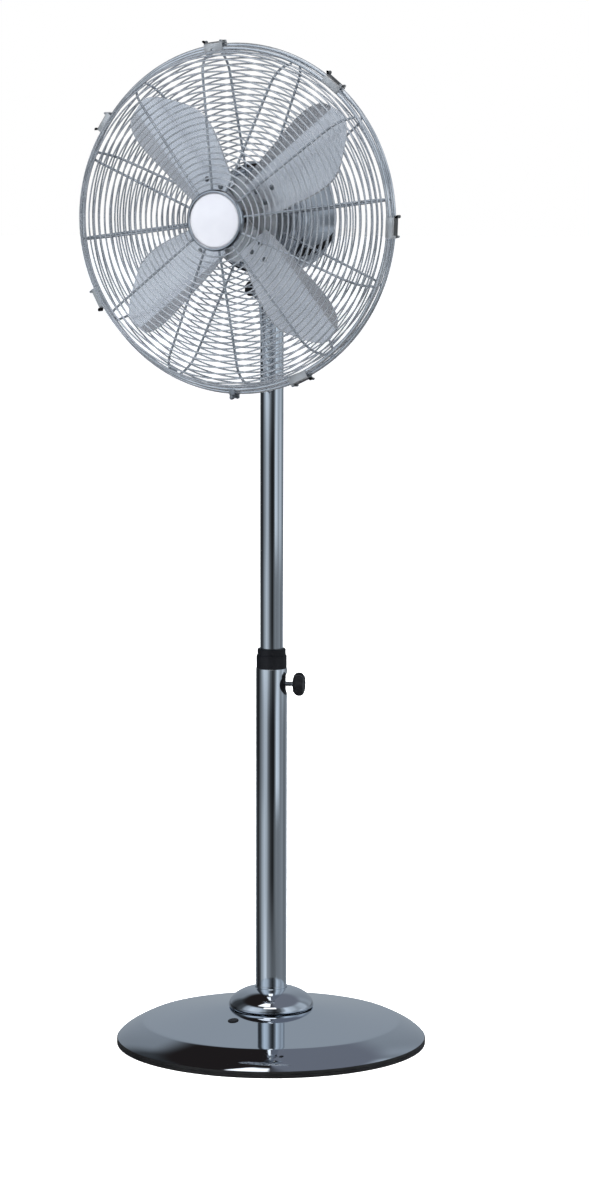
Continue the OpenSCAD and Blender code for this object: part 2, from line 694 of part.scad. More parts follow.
base_cover();
base_edge();
base_weight();
base_underplate();
base_fasteners();
base_plug();
bell_cover();
pole_foot();
lower_tube();
tube_bushing();
clamp_nut();
height_knob();
height_stud();
upper_tube();
tube_glide();
neck();
tilt_bracket();
tilt_knob();
tilt_stud();
swing_link();
motor_front_cover();
motor_barrel();
vent_liner();
motor_rear_cap();
stator();
windings();
bearings();
gear_case();
motor_bolts();
capacitor();
speed_switch();
cable_gland();
switch_knob();
swing_knob();
rear_ribs();
rear_face_rings();
rear_side_rings();
rear_hoop();
guard_nut();
front_ribs();
front_face_rings();
front_rim();
cap_bezel();
cap_plate();
clip_channels();
safety_screw();
clip_lever_1();
clip_lever_2();
clip_lever_3();
clip_lever_4();
clip_lever_5();
clip_lever_6();
rotor_core();
shaft();
blade_hub();
blades();
rivets();
spinner();
worm_spindle();
crank_gear();
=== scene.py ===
"""A chromed pedestal fan: the fine surfaces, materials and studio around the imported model.

Lengths in this script are millimetres, turned into metres when a mesh is made. Head
coordinates are x to the right and y up as seen from the front, and z forward along the
motor's shaft, from the point where the shaft crosses the pole's axis.
"""
import math
import bpy
import bmesh
from mathutils import Matrix, Vector


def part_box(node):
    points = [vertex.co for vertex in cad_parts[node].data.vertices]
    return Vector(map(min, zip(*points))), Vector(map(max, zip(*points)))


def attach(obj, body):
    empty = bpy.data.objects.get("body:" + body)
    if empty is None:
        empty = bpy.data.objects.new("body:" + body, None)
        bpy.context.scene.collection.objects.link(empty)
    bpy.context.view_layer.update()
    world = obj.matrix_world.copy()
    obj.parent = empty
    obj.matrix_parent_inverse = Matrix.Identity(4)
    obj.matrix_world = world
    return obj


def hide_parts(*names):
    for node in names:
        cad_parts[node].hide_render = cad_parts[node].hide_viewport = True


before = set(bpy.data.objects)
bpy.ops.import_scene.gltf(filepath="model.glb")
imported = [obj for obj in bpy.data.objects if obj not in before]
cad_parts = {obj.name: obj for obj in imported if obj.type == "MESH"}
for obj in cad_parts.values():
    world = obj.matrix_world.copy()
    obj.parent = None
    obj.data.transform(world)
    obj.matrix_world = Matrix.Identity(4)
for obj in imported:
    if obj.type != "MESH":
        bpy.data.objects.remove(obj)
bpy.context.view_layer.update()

MM = 0.001
TAU = 2 * math.pi


# ---------- measurements taken from the frame ----------

class Box:
    """A CAD node's box at rest, in millimetres."""

    def __init__(self, node):
        low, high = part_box(node)
        self.low = [c / MM for c in low]
        self.high = [c / MM for c in high]
        self.size = [b - a for a, b in zip(self.low, self.high)]
        self.mid = [(a + b) / 2 for a, b in zip(self.low, self.high)]


rear_hoop_box = Box("rear_hoop")
rim_box = Box("front_rim")
barrel_box = Box("motor_barrel")
cap_box = Box("cap_bezel")
edge_box = Box("base_edge")
cover_box = Box("base_cover")
bell_box = Box("bell_cover")
lower_box = Box("lower_tube")
upper_box = Box("upper_tube")
clips_box = Box("clip_channels")

axis_h = rear_hoop_box.mid[2]
hoop_wire = rear_hoop_box.size[1]
rear_r = rear_hoop_box.size[0] / 2 - hoop_wire / 2
rear_z = -rear_hoop_box.mid[1]
front_r = rim_box.size[0] / 2 - hoop_wire / 2
front_z = -rim_box.high[1] + hoop_wire / 2
motor_r = barrel_box.size[0] / 2
cap_r = cap_box.size[0] / 2 - 0.3
base_r = edge_box.size[0] / 2
dome_h = cover_box.high[2]
edge_h = edge_box.high[2]
lower_r = lower_box.size[0] / 2
lower_top = lower_box.high[2]
lower_foot = lower_box.low[2]
upper_r = upper_box.size[0] / 2
upper_top = upper_box.high[2]
upper_foot = upper_box.low[2]
clip_mid_z = -clips_box.mid[1]

# The wires, blades and clips can't be read from boxes, so these repeat the design's own values.
rib_wire = 3
ring_wire = 2
ring_pitch = 7.2
rib_count = 12
rib_phase = 7.5
blade_count = 4
blade_phase = 39
blade_z = 98
blade_tip = 184
clip_angles = [97, 51, -2, -65, -152, 146.5]
safety_angle = -90

HEAD = Matrix(((1, 0, 0, 0), (0, 0, -1, 0), (0, 1, 0, axis_h), (0, 0, 0, 1)))
PLAIN = Matrix.Identity(4)


def turned(angle, axis="Z"):
    return Matrix.Rotation(math.radians(angle), 4, axis)


def moved(x=0, y=0, z=0):
    return Matrix.Translation((x, y, z))


# ---------- mesh building ----------

def add_object(name, data):
    obj = bpy.data.objects.new(name, data)
    bpy.context.scene.collection.objects.link(obj)
    return obj


def solid_mesh(name, verts, faces, place):
    """A closed mesh in metres from millimetre points: doubled points joined, faces turned outwards."""
    mesh = bpy.data.meshes.new(name)
    mesh.from_pydata([(place @ Vector(v)) * MM for v in verts], [], faces)
    bm = bmesh.new()
    bm.from_mesh(mesh)
    bmesh.ops.remove_doubles(bm, verts=bm.verts, dist=1e-6)
    bmesh.ops.recalc_face_normals(bm, faces=bm.faces)
    bm.to_mesh(mesh)
    bm.free()
    return mesh


def shade_smooth(mesh, sharp):
    """Smooth shading, with edges left sharp where faces meet at more than sharp degrees."""
    for polygon in mesh.polygons:
        polygon.use_smooth = True
    mesh.set_sharp_from_angle(angle=math.radians(sharp))


def add_mesh(name, verts, faces, material, body, place=PLAIN, stands_for=None, sharp=35):
    """Makes an object that rides on a body and may stand for a CAD node."""
    mesh = solid_mesh(name, verts, faces, place)
    obj = add_object(name, mesh)
    mesh.materials.append(material)
    shade_smooth(mesh, sharp)
    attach(obj, body)
    if stands_for:
        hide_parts(stands_for)
    return obj


def merge(parts):
    """Several (verts, faces) lists as one."""
    verts, faces = [], []
    for part_verts, part_faces in parts:
        start = len(verts)
        verts += [tuple(v) for v in part_verts]
        faces += [[start + i for i in face] for face in part_faces]
    return verts, faces


def placed(part, matrix):
    verts, faces = part
    return [tuple(matrix @ Vector(v)) for v in verts], faces


def copies(part, places):
    """One part repeated at several places."""
    return merge([placed(part, place) for place in places])


def on_head(name, part, material, node=None):
    """Makes an object from a part in head coordinates."""
    return add_mesh(name, *part, material, "head", HEAD, node)


def rounded(points, radius, steps=4, closed=True):
    """A profile with its corners rounded. A point may carry its own radius as a third value."""
    out = []
    count = len(points)
    for i, point in enumerate(points):
        here = Vector(point[:2])
        r = point[2] if len(point) > 2 else radius
        if r <= 0 or (not closed and i in (0, count - 1)):
            out.append(tuple(here))
            continue
        before = Vector(points[i - 1][:2]) - here
        after = Vector(points[(i + 1) % count][:2]) - here
        turn = before.angle(after, math.pi)
        if turn > math.radians(176) or turn < math.radians(2):
            out.append(tuple(here))
            continue
        reach = min(r / math.tan(turn / 2), before.length * 0.45, after.length * 0.45)
        start = here + before.normalized() * reach
        end = here + after.normalized() * reach
        for k in range(steps + 1):
            t = k / steps
            out.append(tuple(start * (1 - t) ** 2 + here * 2 * t * (1 - t) + end * t * t))
    return out


def lathe(profile, segments=128):
    """Turns a profile of (radius, height) about z. Points on the axis become one vertex."""
    rings, verts = [], []
    for r, z in profile:
        if r < 1e-6:
            rings.append([len(verts)])
            verts.append((0, 0, z))
            continue
        rings.append(list(range(len(verts), len(verts) + segments)))
        verts += [(r * math.cos(TAU * k / segments), r * math.sin(TAU * k / segments), z)
                  for k in range(segments)]
    faces = []
    closed = profile[0][0] > 1e-6 or profile[-1][0] > 1e-6
    pairs = list(zip(rings, rings[1:] + rings[:1])) if closed else list(zip(rings, rings[1:]))
    for a, b in pairs:
        for k in range(segments):
            n = (k + 1) % segments
            face = [a[k % len(a)], a[n % len(a)], b[n % len(b)], b[k % len(b)]]
            face = list(dict.fromkeys(face))
            if len(face) > 2:
                faces.append(face)
    return verts, faces


def rod(radius, low, high, segments):
    return lathe([(0, low), (radius, low), (radius, high), (0, high)], segments)


def ring(r, z, wire_r, segments=192, sides=12):
    return lathe([(r + wire_r * math.cos(TAU * k / sides), z + wire_r * math.sin(TAU * k / sides))
                  for k in range(sides)], segments)


def sweep(points, radius, sides=12):
    """A round wire with domed ends along a path of points."""
    points = [Vector(p) for p in points]
    tangents = [(points[min(i + 1, len(points) - 1)] - points[max(i - 1, 0)]).normalized()
                for i in range(len(points))]
    normal = tangents[0].orthogonal().normalized()
    rows, verts = [], []
    ends = [(-0.9, 0.45), (-0.55, 0.85)]
    stations = [(points[0], tangents[0], s, k) for s, k in ends]
    stations += [(p, t, 0, 1) for p, t in zip(points, tangents)]
    stations += [(points[-1], tangents[-1], -s, k) for s, k in reversed(ends)]
    for point, tangent, shift, scale in stations:
        normal = (normal - tangent * normal.dot(tangent)).normalized()
        side = tangent.cross(normal)
        centre = point + tangent * shift * radius
        rows.append(range(len(verts), len(verts) + sides))
        verts += [tuple(centre + (normal * math.cos(TAU * k / sides)
                                  + side * math.sin(TAU * k / sides)) * radius * scale)
                  for k in range(sides)]
    faces = []
    for a, b in zip(rows, rows[1:]):
        faces += [[a[k], a[(k + 1) % sides], b[(k + 1) % sides], b[k]] for k in range(sides)]
    faces += [list(rows[0]), list(rows[-1])]
    return verts, faces


def prism(outline, z0, z1, edge=0.0, steps=2):
    """A flat plate with an outline in x and y, its rims rounded by edge."""
    layers = [(z0, 1)]
    if edge:
        turns = [90 * k / steps for k in range(steps + 1)]
        layers = [(z0 + edge * (1 - math.cos(math.radians(a))), 1 - math.sin(math.radians(a)))
                  for a in turns]
    layers += [(z0 + z1 - z, k) for z, k in reversed(layers)] if edge else [(z1, 1)]
    count = len(outline)
    inward = inset_normals(outline)
    verts = []
    for z, k in layers:
        shift = edge * k
        verts += [(x + nx * shift, y + ny * shift, z) for (x, y), (nx, ny) in zip(outline, inward)]
    faces = [list(range(count)), list(range((len(layers) - 1) * count, len(layers) * count))]
    for layer in range(len(layers) - 1):
        a, b = layer * count, (layer + 1) * count
        faces += [[a + k, a + (k + 1) % count, b + (k + 1) % count, b + k] for k in range(count)]
    return verts, faces


def inset_normals(outline):
    """For each outline point, the direction that leads inwards."""
    area = sum(a[0] * b[1] - b[0] * a[1] for a, b in zip(outline, outline[1:] + outline[:1]))
    sign = 1 if area > 0 else -1
    out = []
    for before, after in zip(outline[-1:] + outline[:-1], outline[1:] + outline[:1]):
        along = Vector((after[0] - before[0], after[1] - before[1])).normalized()
        out.append((-along.y * sign, along.x * sign))
    return out


def box_outline(width, height, radius, steps=5):
    """A centred rectangle with rounded corners."""
    w, h = width / 2 - radius, height / 2 - radius
    out = []
    for corner, (cx, cy) in enumerate(((w, h), (-w, h), (-w, -h), (w, -h))):
        for k in range(steps + 1):
            a = TAU * (corner + k / steps) / 4
            out.append((cx + radius * math.cos(a), cy + radius * math.sin(a)))
    return out


def circle(radius, count=48):
    return [(radius * math.cos(TAU * k / count), radius * math.sin(TAU * k / count))
            for k in range(count)]


def dome(radius, height):
    """A button: a flat round bottom at zero and a low round top."""
    rows = 5
    angles = [TAU * k / rows / 4 for k in range(1, rows)]
    top = [(radius * math.cos(a), height * math.sin(a)) for a in angles]
    return lathe([(0, 0), (radius, 0)] + top + [(0, height)], 16)


def bezier(points, t):
    p = [Vector(q) for q in points]
    return (p[0] * (1 - t) ** 3 + p[1] * 3 * t * (1 - t) ** 2
            + p[2] * 3 * t * t * (1 - t) + p[3] * t ** 3)


def curve(points, steps):
    return [tuple(bezier(points, k / steps)) for k in range(steps + 1)]


def cut(obj, part, place=PLAIN):
    """Cuts a (verts, faces) solid out of an object and keeps the result as its mesh."""
    tool = add_object("cutter", solid_mesh("cutter", *part, place))
    modifier = obj.modifiers.new("cut", "BOOLEAN")
    modifier.operation = "DIFFERENCE"
    modifier.solver = "EXACT"
    modifier.object = tool
    bpy.context.view_layer.update()
    baked = bpy.data.meshes.new_from_object(obj.evaluated_get(bpy.context.evaluated_depsgraph_get()))
    obj.modifiers.clear()
    spent = (obj.data, tool.data)
    obj.data = baked
    bpy.data.objects.remove(tool)
    for mesh in spent:
        bpy.data.meshes.remove(mesh)
    shade_smooth(baked, 35)


# ---------- materials ----------


def srgb(r, g, b):
    """A colour given as screen values from 0 to 255."""
    return tuple(((c / 255 + 0.055) / 1.055) ** 2.4 if c > 10 else c / 255 / 12.92
                 for c in (r, g, b)) + (1,)


def fill(node, **inputs):
    """Sets a node's inputs. An underscore stands for a space in an input's name."""
    for name, value in inputs.items():
        node.inputs[name.replace("_", " ")].default_value = value
    return node


class Shader:
    """A small helper that builds one material's nodes. Its colours are screen values."""

    def __init__(self, name, color, metallic, roughness, **sockets):
        self.material = bpy.data.materials.new(name)
        self.material.use_nodes = True
        self.nodes = self.material.node_tree.nodes
        self.links = self.material.node_tree.links
        self.base = fill(self.nodes["Principled BSDF"], Base_Color=srgb(*color), Metallic=metallic,
                         Roughness=roughness, **sockets)
        self.height = None

    def node(self, kind, **settings):
        node = self.nodes.new(kind)
        for key, value in settings.items():
            setattr(node, key, value)
        return node

    def place(self, scale=(1, 1, 1)):
        """Coordinates in metres on the piece itself, stretched by scale."""
        coords = self.node("ShaderNodeTexCoord")
        mapping = fill(self.node("ShaderNodeMapping"), Scale=scale)
        self.links.new(coords.outputs["Object"], mapping.inputs["Vector"])
        return mapping.outputs["Vector"]

    def noise(self, scale, detail, stretch=(1, 1, 1)):
        noise = fill(self.node("ShaderNodeTexNoise"), Scale=scale, Detail=detail)
        self.links.new(self.place(stretch), noise.inputs["Vector"])
        return noise.outputs["Fac"]

    def spread(self, value, low, high):
        """Maps the middle of a noise onto low to high."""
        node = fill(self.node("ShaderNodeMapRange"), From_Min=0.3, From_Max=0.7, To_Min=low, To_Max=high)
        self.links.new(value, node.inputs["Value"])
        return node.outputs["Result"]

    def roughness(self, value, low, high):
        self.links.new(self.spread(value, low, high), self.base.inputs["Roughness"])
        return self

    def tint(self, value, dark, light):
        mix = fill(self.node("ShaderNodeMix", data_type="RGBA"), A=srgb(*dark), B=srgb(*light))
        self.links.new(self.spread(value, 0, 1), mix.inputs["Factor"])
        self.links.new(mix.outputs["Result"], self.base.inputs["Base Color"])
        return self

    def bump(self, value, strength, depth):
        """Adds a height field. depth is in millimetres."""
        node = fill(self.node("ShaderNodeBump"), Strength=strength, Distance=depth * MM)
        self.links.new(value, node.inputs["Height"])
        if self.height:
            self.links.new(self.height, node.inputs["Normal"])
        self.height = node.outputs["Normal"]
        self.links.new(self.height, self.base.inputs["Normal"])
        return self


def chrome(name, color, low, high, wave, along=(1, 1, 1)):
    """Bright plating: faint waves in the sheet under it, and a haze of fine polishing lines."""
    s = Shader(name, color, 1.0, low)
    s.roughness(s.noise(240, 6, along), low, high)
    s.bump(s.noise(9, 2), wave, 0.8)
    return s.material


def wire_metal(name, dark, light, rough=(0.16, 0.3), metallic=1.0):
    """Drawn steel wire under a thin bright coat."""
    s = Shader(name, light, metallic, rough[0])
    s.roughness(s.noise(180, 5), *rough)
    s.tint(s.noise(34, 3), dark, light)
    s.bump(s.noise(900, 2), 0.12, 0.05)
    return s.material


def satin_aluminium(name, dark, light, rough, metallic=1.0):
    """Rolled sheet with a satin finish: fine grain, clouds and a few scuffs."""
    s = Shader(name, light, metallic, rough[0])
    s.roughness(s.noise(60, 8), *rough)
    s.tint(s.noise(14, 5), dark, light)
    s.bump(s.noise(1500, 3), 0.1, 0.04)
    return s.material


def moulded(name, color, light, rough=(0.38, 0.55), grain=1400, depth=0.06, level=0.4):
    """Moulded plastic or rubber with a fine spark-eroded grain."""
    s = Shader(name, color, 0.0, rough[0], Specular_IOR_Level=level)
    s.roughness(s.noise(90, 6), *rough)
    s.tint(s.noise(30, 4), color, light)
    s.bump(s.noise(grain, 3), 0.35, depth)
    return s.material


def turned_metal(name, dark, light, lines=9000, metallic=1.0, rough=(0.2, 0.36)):
    """Metal brushed in circles about the motor's shaft."""
    s = Shader(name, light, metallic, rough[0])
    coords = s.node("ShaderNodeTexCoord")
    split = s.node("ShaderNodeSeparateXYZ")
    s.links.new(coords.outputs["Object"], split.inputs["Vector"])
    up = s.node("ShaderNodeMath", operation="SUBTRACT")
    up.inputs[1].default_value = axis_h * MM
    s.links.new(split.outputs["Z"], up.inputs[0])
    flat = s.node("ShaderNodeCombineXYZ")
    s.links.new(split.outputs["X"], flat.inputs["X"])
    s.links.new(up.outputs["Value"], flat.inputs["Y"])
    length = s.node("ShaderNodeVectorMath", operation="LENGTH")
    s.links.new(flat.outputs["Vector"], length.inputs[0])
    rings = fill(s.node("ShaderNodeTexNoise", noise_dimensions="1D"), Scale=lines, Detail=2)
    s.links.new(length.outputs["Value"], rings.inputs["W"])
    s.roughness(rings.outputs["Fac"], *rough)
    s.tint(s.noise(20, 3), dark, light)
    s.bump(rings.outputs["Fac"], 0.15, 0.02)
    return s.material


def laminated(name, dark, light):
    """A stack of steel sheets seen edge on, along the motor's shaft."""
    sheet = 0.6
    s = Shader(name, light, 0.8, 0.45)
    wave = fill(s.node("ShaderNodeTexWave", bands_direction="Y"), Scale=1 / (sheet * MM) / TAU)
    s.links.new(s.place(), wave.inputs["Vector"])
    s.tint(wave.outputs["Fac"], dark, light)
    s.bump(wave.outputs["Fac"], 0.4, 0.1)
    return s.material


def cast(name, dark, light, metallic=0.7, rough=(0.5, 0.75)):
    """Cast metal with a coarse skin."""
    s = Shader(name, light, metallic, rough[0])
    s.roughness(s.noise(120, 6), *rough)
    s.tint(s.noise(45, 6), dark, light)
    s.bump(s.noise(420, 5), 0.6, 0.25)
    return s.material


def wound_copper(name):
    """Enamelled wire wound round and round."""
    s = Shader(name, (196, 112, 60), 0.9, 0.3, Coat_Weight=0.3)
    wave = s.node("ShaderNodeTexWave", bands_direction="X", wave_type="RINGS", rings_direction="Y")
    fill(wave, Scale=260, Distortion=1.5, Detail_Scale=40)
    s.links.new(s.place(), wave.inputs["Vector"])
    s.tint(wave.outputs["Fac"], (120, 58, 30), (205, 122, 66))
    s.bump(wave.outputs["Fac"], 0.6, 0.2)
    return s.material


dome_chrome = chrome("dome_chrome", (214, 221, 230), 0.02, 0.06, 0.10)
bell_chrome = chrome("bell_chrome", (220, 226, 234), 0.02, 0.06, 0.06)
stud_chrome = chrome("stud_chrome", (232, 234, 238), 0.12, 0.25, 0.05)
tube_chrome = chrome("tube_chrome", (226, 231, 236), 0.03, 0.10, 0.05, (1, 1, 0.02))
motor_chrome = chrome("motor_chrome", (222, 227, 234), 0.05, 0.12, 0.06)
neck_chrome = chrome("neck_chrome", (212, 216, 222), 0.06, 0.15, 0.08)
ring_metal = wire_metal("ring_metal", (192, 197, 203), (232, 235, 240), (0.14, 0.26), 0.88)
rib_metal = wire_metal("rib_metal", (172, 178, 185), (214, 219, 226), (0.16, 0.28), 0.9)
hoop_metal = wire_metal("hoop_metal", (200, 206, 213), (238, 242, 247), (0.14, 0.24), 0.88)
clip_metal = wire_metal("clip_metal", (178, 180, 182), (214, 215, 216), (0.25, 0.38), 0.85)
lever_metal = wire_metal("lever_metal", (112, 110, 108), (160, 158, 156), (0.25, 0.4))
zinc = wire_metal("zinc_plate", (150, 152, 156), (206, 208, 212), (0.25, 0.42))
blade_metal = satin_aluminium("blade_metal", (222, 225, 231), (238, 240, 245), (0.19, 0.27),
                              metallic=0.85)
hub_metal = satin_aluminium("hub_metal", (176, 179, 184), (204, 206, 210), (0.3, 0.42),
                            metallic=0.74)
rivet_metal = satin_aluminium("rivet_metal", (150, 152, 156), (188, 190, 194), (0.25, 0.4))
cap_metal = turned_metal("cap_metal", (214, 214, 220), (228, 228, 233), 5200, 0.55, (0.3, 0.45))
bezel_metal = turned_metal("bezel_metal", (190, 194, 200), (220, 223, 228), 9000, 1.0, (0.1, 0.2))
shaft_metal = turned_metal("shaft_metal", (176, 178, 182), (208, 210, 214), 9000)
black_plastic = moulded("black_plastic", (11, 11, 13), (20, 20, 24), (0.34, 0.5), level=0.3)
bushing_black = moulded("bushing_black", (9, 10, 14), (17, 18, 23), (0.4, 0.55), 1100, level=0.3)
edge_rubber = moulded("edge_rubber", (12, 12, 13), (24, 24, 25), (0.5, 0.7), 800, 0.1)
plate_black = moulded("plate_black", (20, 20, 21), (32, 32, 33), (0.5, 0.7), 500, 0.12)
# Near-black liner behind the housing's vents: painted reflection, standing in for the dark band that the
# chrome barrel reflects along its lower side.
vent_reflection_black = moulded("vent_reflection_black", (6, 6, 7), (12, 12, 13), (0.6, 0.8))
white_plastic = moulded("white_plastic", (216, 214, 206), (232, 230, 222), (0.35, 0.5))
iron = cast("ballast_iron", (52, 52, 54), (84, 84, 86))
alloy = cast("gear_case_alloy", (138, 140, 143), (176, 178, 181), 0.9, (0.35, 0.55))
bronze = cast("bearing_bronze", (150, 116, 70), (196, 156, 98), 0.9, (0.3, 0.5))
core_steel = laminated("core_steel", (92, 93, 97), (142, 143, 147))
copper = wound_copper("winding_copper")

# The pieces that stay as the frame has them get their material here.
for node_name, material in {
    "base_weight": iron, "base_fasteners": zinc, "pole_foot": zinc, "clamp_nut": zinc,
    "tube_glide": white_plastic, "vent_liner": vent_reflection_black, "stator": core_steel,
    "windings": copper, "bearings": bronze, "gear_case": alloy, "motor_bolts": zinc,
    "capacitor": white_plastic, "speed_switch": black_plastic, "rotor_core": core_steel,
    "worm_spindle": white_plastic, "crank_gear": white_plastic, "swing_link": zinc,
    "tilt_bracket": zinc, "tilt_stud": zinc, "neck": neck_chrome, "blade_hub": hub_metal,
    "tube_bushing": bushing_black, "shaft": shaft_metal,
}.items():
    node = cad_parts[node_name]
    node.data.materials.clear()
    node.data.materials.append(material)
    shade_smooth(node.data, 30)


# ---------- base ----------

def rim_curve(t, crease_r, crease_h):
    """The base's shoulder, from the crease down to the rubber edge."""
    return bezier([(crease_r, crease_h), (crease_r + 13, crease_h - 5.8),
                   (base_r - 7, 16), (base_r - 0.7, edge_h + 0.1)], t)


def build_base():
    crease_r, crease_h, flat_r, sheet = 157, 28, 48, 1.2
    neck_r = lower_r + 1
    outer = [(neck_r, dome_h), (flat_r - 5, dome_h), (flat_r + 2, dome_h - 0.35)]
    fall = (dome_h - crease_h) / (crease_r - flat_r)
    steps = [(crease_r - 1.2 - flat_r) * k / 24 for k in range(1, 25)]
    outer += [(flat_r + step, dome_h - step * fall) for step in steps]
    outer += [tuple(rim_curve(0.02 + 0.98 * k / 28, crease_r, crease_h)) for k in range(29)]
    inner = [(r - sheet * 0.4, max(z - sheet, edge_h + 0.05)) for r, z in reversed(outer)]
    inner[0] = (base_r - 1.9, edge_h + 0.1)
    inner[-1] = (neck_r, dome_h - sheet)
    add_mesh("dome_cover", *lathe(outer + inner, 256), dome_chrome, "base", stands_for="base_cover")

    lip = rounded([(base_r - 9, 0.0), (base_r, 0.0, 1.6), (base_r, 3.2, 0.4), (base_r - 0.6, 3.6, 0.3),
                   (base_r - 0.6, 4.4, 0.3), (base_r, 4.8, 0.4), (base_r, edge_h, 1.2),
                   (base_r - 9, edge_h)], 0.3)
    add_mesh("rubber_edge", *lathe(lip, 256), edge_rubber, "base", stands_for="base_edge")

    under_r = base_r - 9.3
    plate = [(0, 0), (30, 0), (31, 0.5), (36, 0.5), (37, 0), (90, 0), (91, 0.5), (97, 0.5), (98, 0),
             (150, 0), (151, 0.5), (157, 0.5), (158, 0), (under_r, 0), (under_r, 1.5), (0, 1.5)]
    add_mesh("under_sheet", *lathe(plate, 160), plate_black, "base", stands_for="base_underplate")

    low, high = bell_box.low[2], bell_box.high[2]
    bell = [tuple(bezier([(lower_r + 1.6, high - 0.4), (35, high - 1.5), (52.4, 58), (52, low + 0.5)],
                         k / 40)) for k in range(41)]
    inner = [(r - 1, z - 1) for r, z in reversed(bell)]
    inner[0] = (50.9, low)
    profile = [(lower_r + 0.15, high - 1.1), (lower_r + 0.15, high - 0.4), (lower_r + 0.6, high)]
    add_mesh("bell", *lathe(profile + bell + [(51.8, low)] + inner, 192), bell_chrome, "base",
             stands_for="bell_cover", sharp=50)

    slope = math.degrees(math.atan(fall))
    out = 77
    height = crease_h + (crease_r - out) * fall
    at = turned(-10.8) @ moved(0, -out, height) @ turned(slope, "X")
    stem = lathe([(0, -6), (4.2, -6), (5, -4), (5, 0.1), (6.6, 0.12), (6.6, 0.5), (6.1, 1.0),
                  (4.4, 1.35), (3.9, 1.1), (2.2, 1.15), (0, 1.3)], 40)
    add_mesh("cover_plug", *stem, black_plastic, "base", at, "base_plug")


# ---------- pole ----------

KNOB = moved(0, 0, Box("height_knob").mid[2]) @ turned(104 - 90) @ turned(90, "Y")


def tube(outer, low, high):
    """A tube with its ends' edges broken."""
    inner = outer - 1.5
    return lathe(rounded([(inner, low), (outer, low), (outer, high), (inner, high)], 0.4, 3), 160)


def build_pole():
    lower = add_mesh("lower_pole", *tube(lower_r, lower_foot, lower_top), tube_chrome, "base",
                     stands_for="lower_tube")
    cut(lower, rod(14, 5, 30, 96), KNOB)
    add_mesh("upper_pole", *tube(upper_r, upper_foot, upper_top), tube_chrome, "mast",
             stands_for="upper_tube")


def lobed(profile, lobes, depth, segments=128):
    """A turned knob whose rim is scalloped into lobes. Points near its axis stay round."""
    verts, faces = lathe(profile, segments)
    limit = max(point[0] for point in profile)
    out = []
    for x, y, z in verts:
        r = math.hypot(x, y)
        if r > limit * 0.55:
            wave = (0.5 - 0.5 * math.cos(lobes * math.atan2(y, x))) ** 1.6
            k = 1 - depth * wave * min(1, (r / limit - 0.55) / 0.3) / r
            x, y = x * k, y * k
        out.append((x, y, z))
    return out, faces


def build_knobs():
    r = 14.5
    profile = rounded([(0, 27), (7, 27, 0.5), (7.6, 27.6, 0.5), (r - 3, 28.0, 1), (r - 0.4, 31, 2.5),
                       (r, 34, 3), (r - 0.4, 37.4, 2.5), (r - 3.2, 40, 1.5), (8, 40.4, 0.5),
                       (7.4, 39.7, 0.4), (3, 39.6), (0, 39.6)], 0.5, 5, closed=False)
    add_mesh("height_grip", *lobed(profile, 8, 1.5), black_plastic, "height_knob", KNOB, "height_knob")
    stud = [(0, upper_r + 0.2), (2.6, upper_r + 0.2)]
    for k in range(9):
        z = upper_r + 0.6 + 1.25 * k
        stud += [(3.0, z + 0.3), (2.55, z + 0.75)]
    stud += [(3, 26.2), (3, 35.8), (0, 35.8)]
    add_mesh("height_screw", *lathe(stud, 48), stud_chrome, "height_knob", KNOB, "height_stud")

    tilt_box = Box("tilt_knob")
    grip = rounded([(0, 0), (5, 0, 0.3), (5, 2.4, 0.3), (7.6, 3.2, 0.8), (8.8, 5, 1), (8.8, 10.8, 1.4),
                    (7.4, 13.2, 1.2), (4, 13.7, 0.4), (3.4, 13.2, 0.3), (0, 13.2)], 0.4, 4, closed=False)
    at = moved(tilt_box.high[0], 0, tilt_box.mid[2]) @ turned(-90, "Y")
    add_mesh("tilt_grip", *lobed(grip, 6, 1.1), black_plastic, "tilt_knob", at, "tilt_knob")

    top = Box("swing_knob")
    z0 = top.low[2]
    button = rounded([(0, 0), (3, 0), (3, 45.6), (5, 46, 0.3), (7, 49, 0.8), (9.4, 50.5, 0.6),
                      (10, 53, 0.8), (10, 61, 1.2), (8.6, 63, 0.8), (5, 63.3, 0.4), (4.4, 62.8, 0.3),
                      (0, 62.8)], 0.3, 4, closed=False)
    add_mesh("swing_button", *lobed(button, 20, 0.35, 160),
             black_plastic, "swing_knob", moved(top.mid[0], top.mid[1], z0), "swing_knob")

    dial = Box("switch_knob")
    at = HEAD @ moved(0, dial.mid[2] - axis_h, 0)
    knob = rounded([(0, -72), (8.4, -72, 1), (10.6, -70.2, 1.2), (11.5, -62.6, 0.5), (11.5, -61.5, 0.3),
                    (3, -61.5), (3, -52), (0, -52)], 0.3, 4, closed=False)
    add_mesh("speed_dial", *lobed(knob, 12, 0.8, 144), black_plastic, "switch_knob", at, "switch_knob")
    mark = prism(box_outline(1.2, 6.5, 0.5, 3), -72.0, -71.2, 0.15)
    add_mesh("dial_mark", *mark, white_plastic, "switch_knob", at @ moved(0, 5.2, 0))


def build_neck_details():
    """Breaks the edges of the CAD pieces that show as they are."""
    for name in ("neck", "tilt_bracket", "blade_hub", "tube_bushing", "gear_case", "swing_link"):
        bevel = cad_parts[name].modifiers.new("edges", "BEVEL")
        bevel.width = 0.35 * MM
        bevel.segments = 2
        bevel.limit_method = "ANGLE"
        bevel.angle_limit = math.radians(40)
        bevel.harden_normals = True


# ---------- motor ----------

# The vents' outline follows the dark reflection band on the barrel's lower side, and the black liner behind
# them paints that band in.
REFLECTION_VENT_TOP = [(31, -34.5), (10, -34), (-9, -31.5), (-22, -27), (-33, -20.5), (-42, -13.5), (-49, -8)]
REFLECTION_VENT_BOTTOM = [(-49, -19), (-38, -31), (-27, -39), (-9, -43.5), (10, -45), (31, -45.5)]


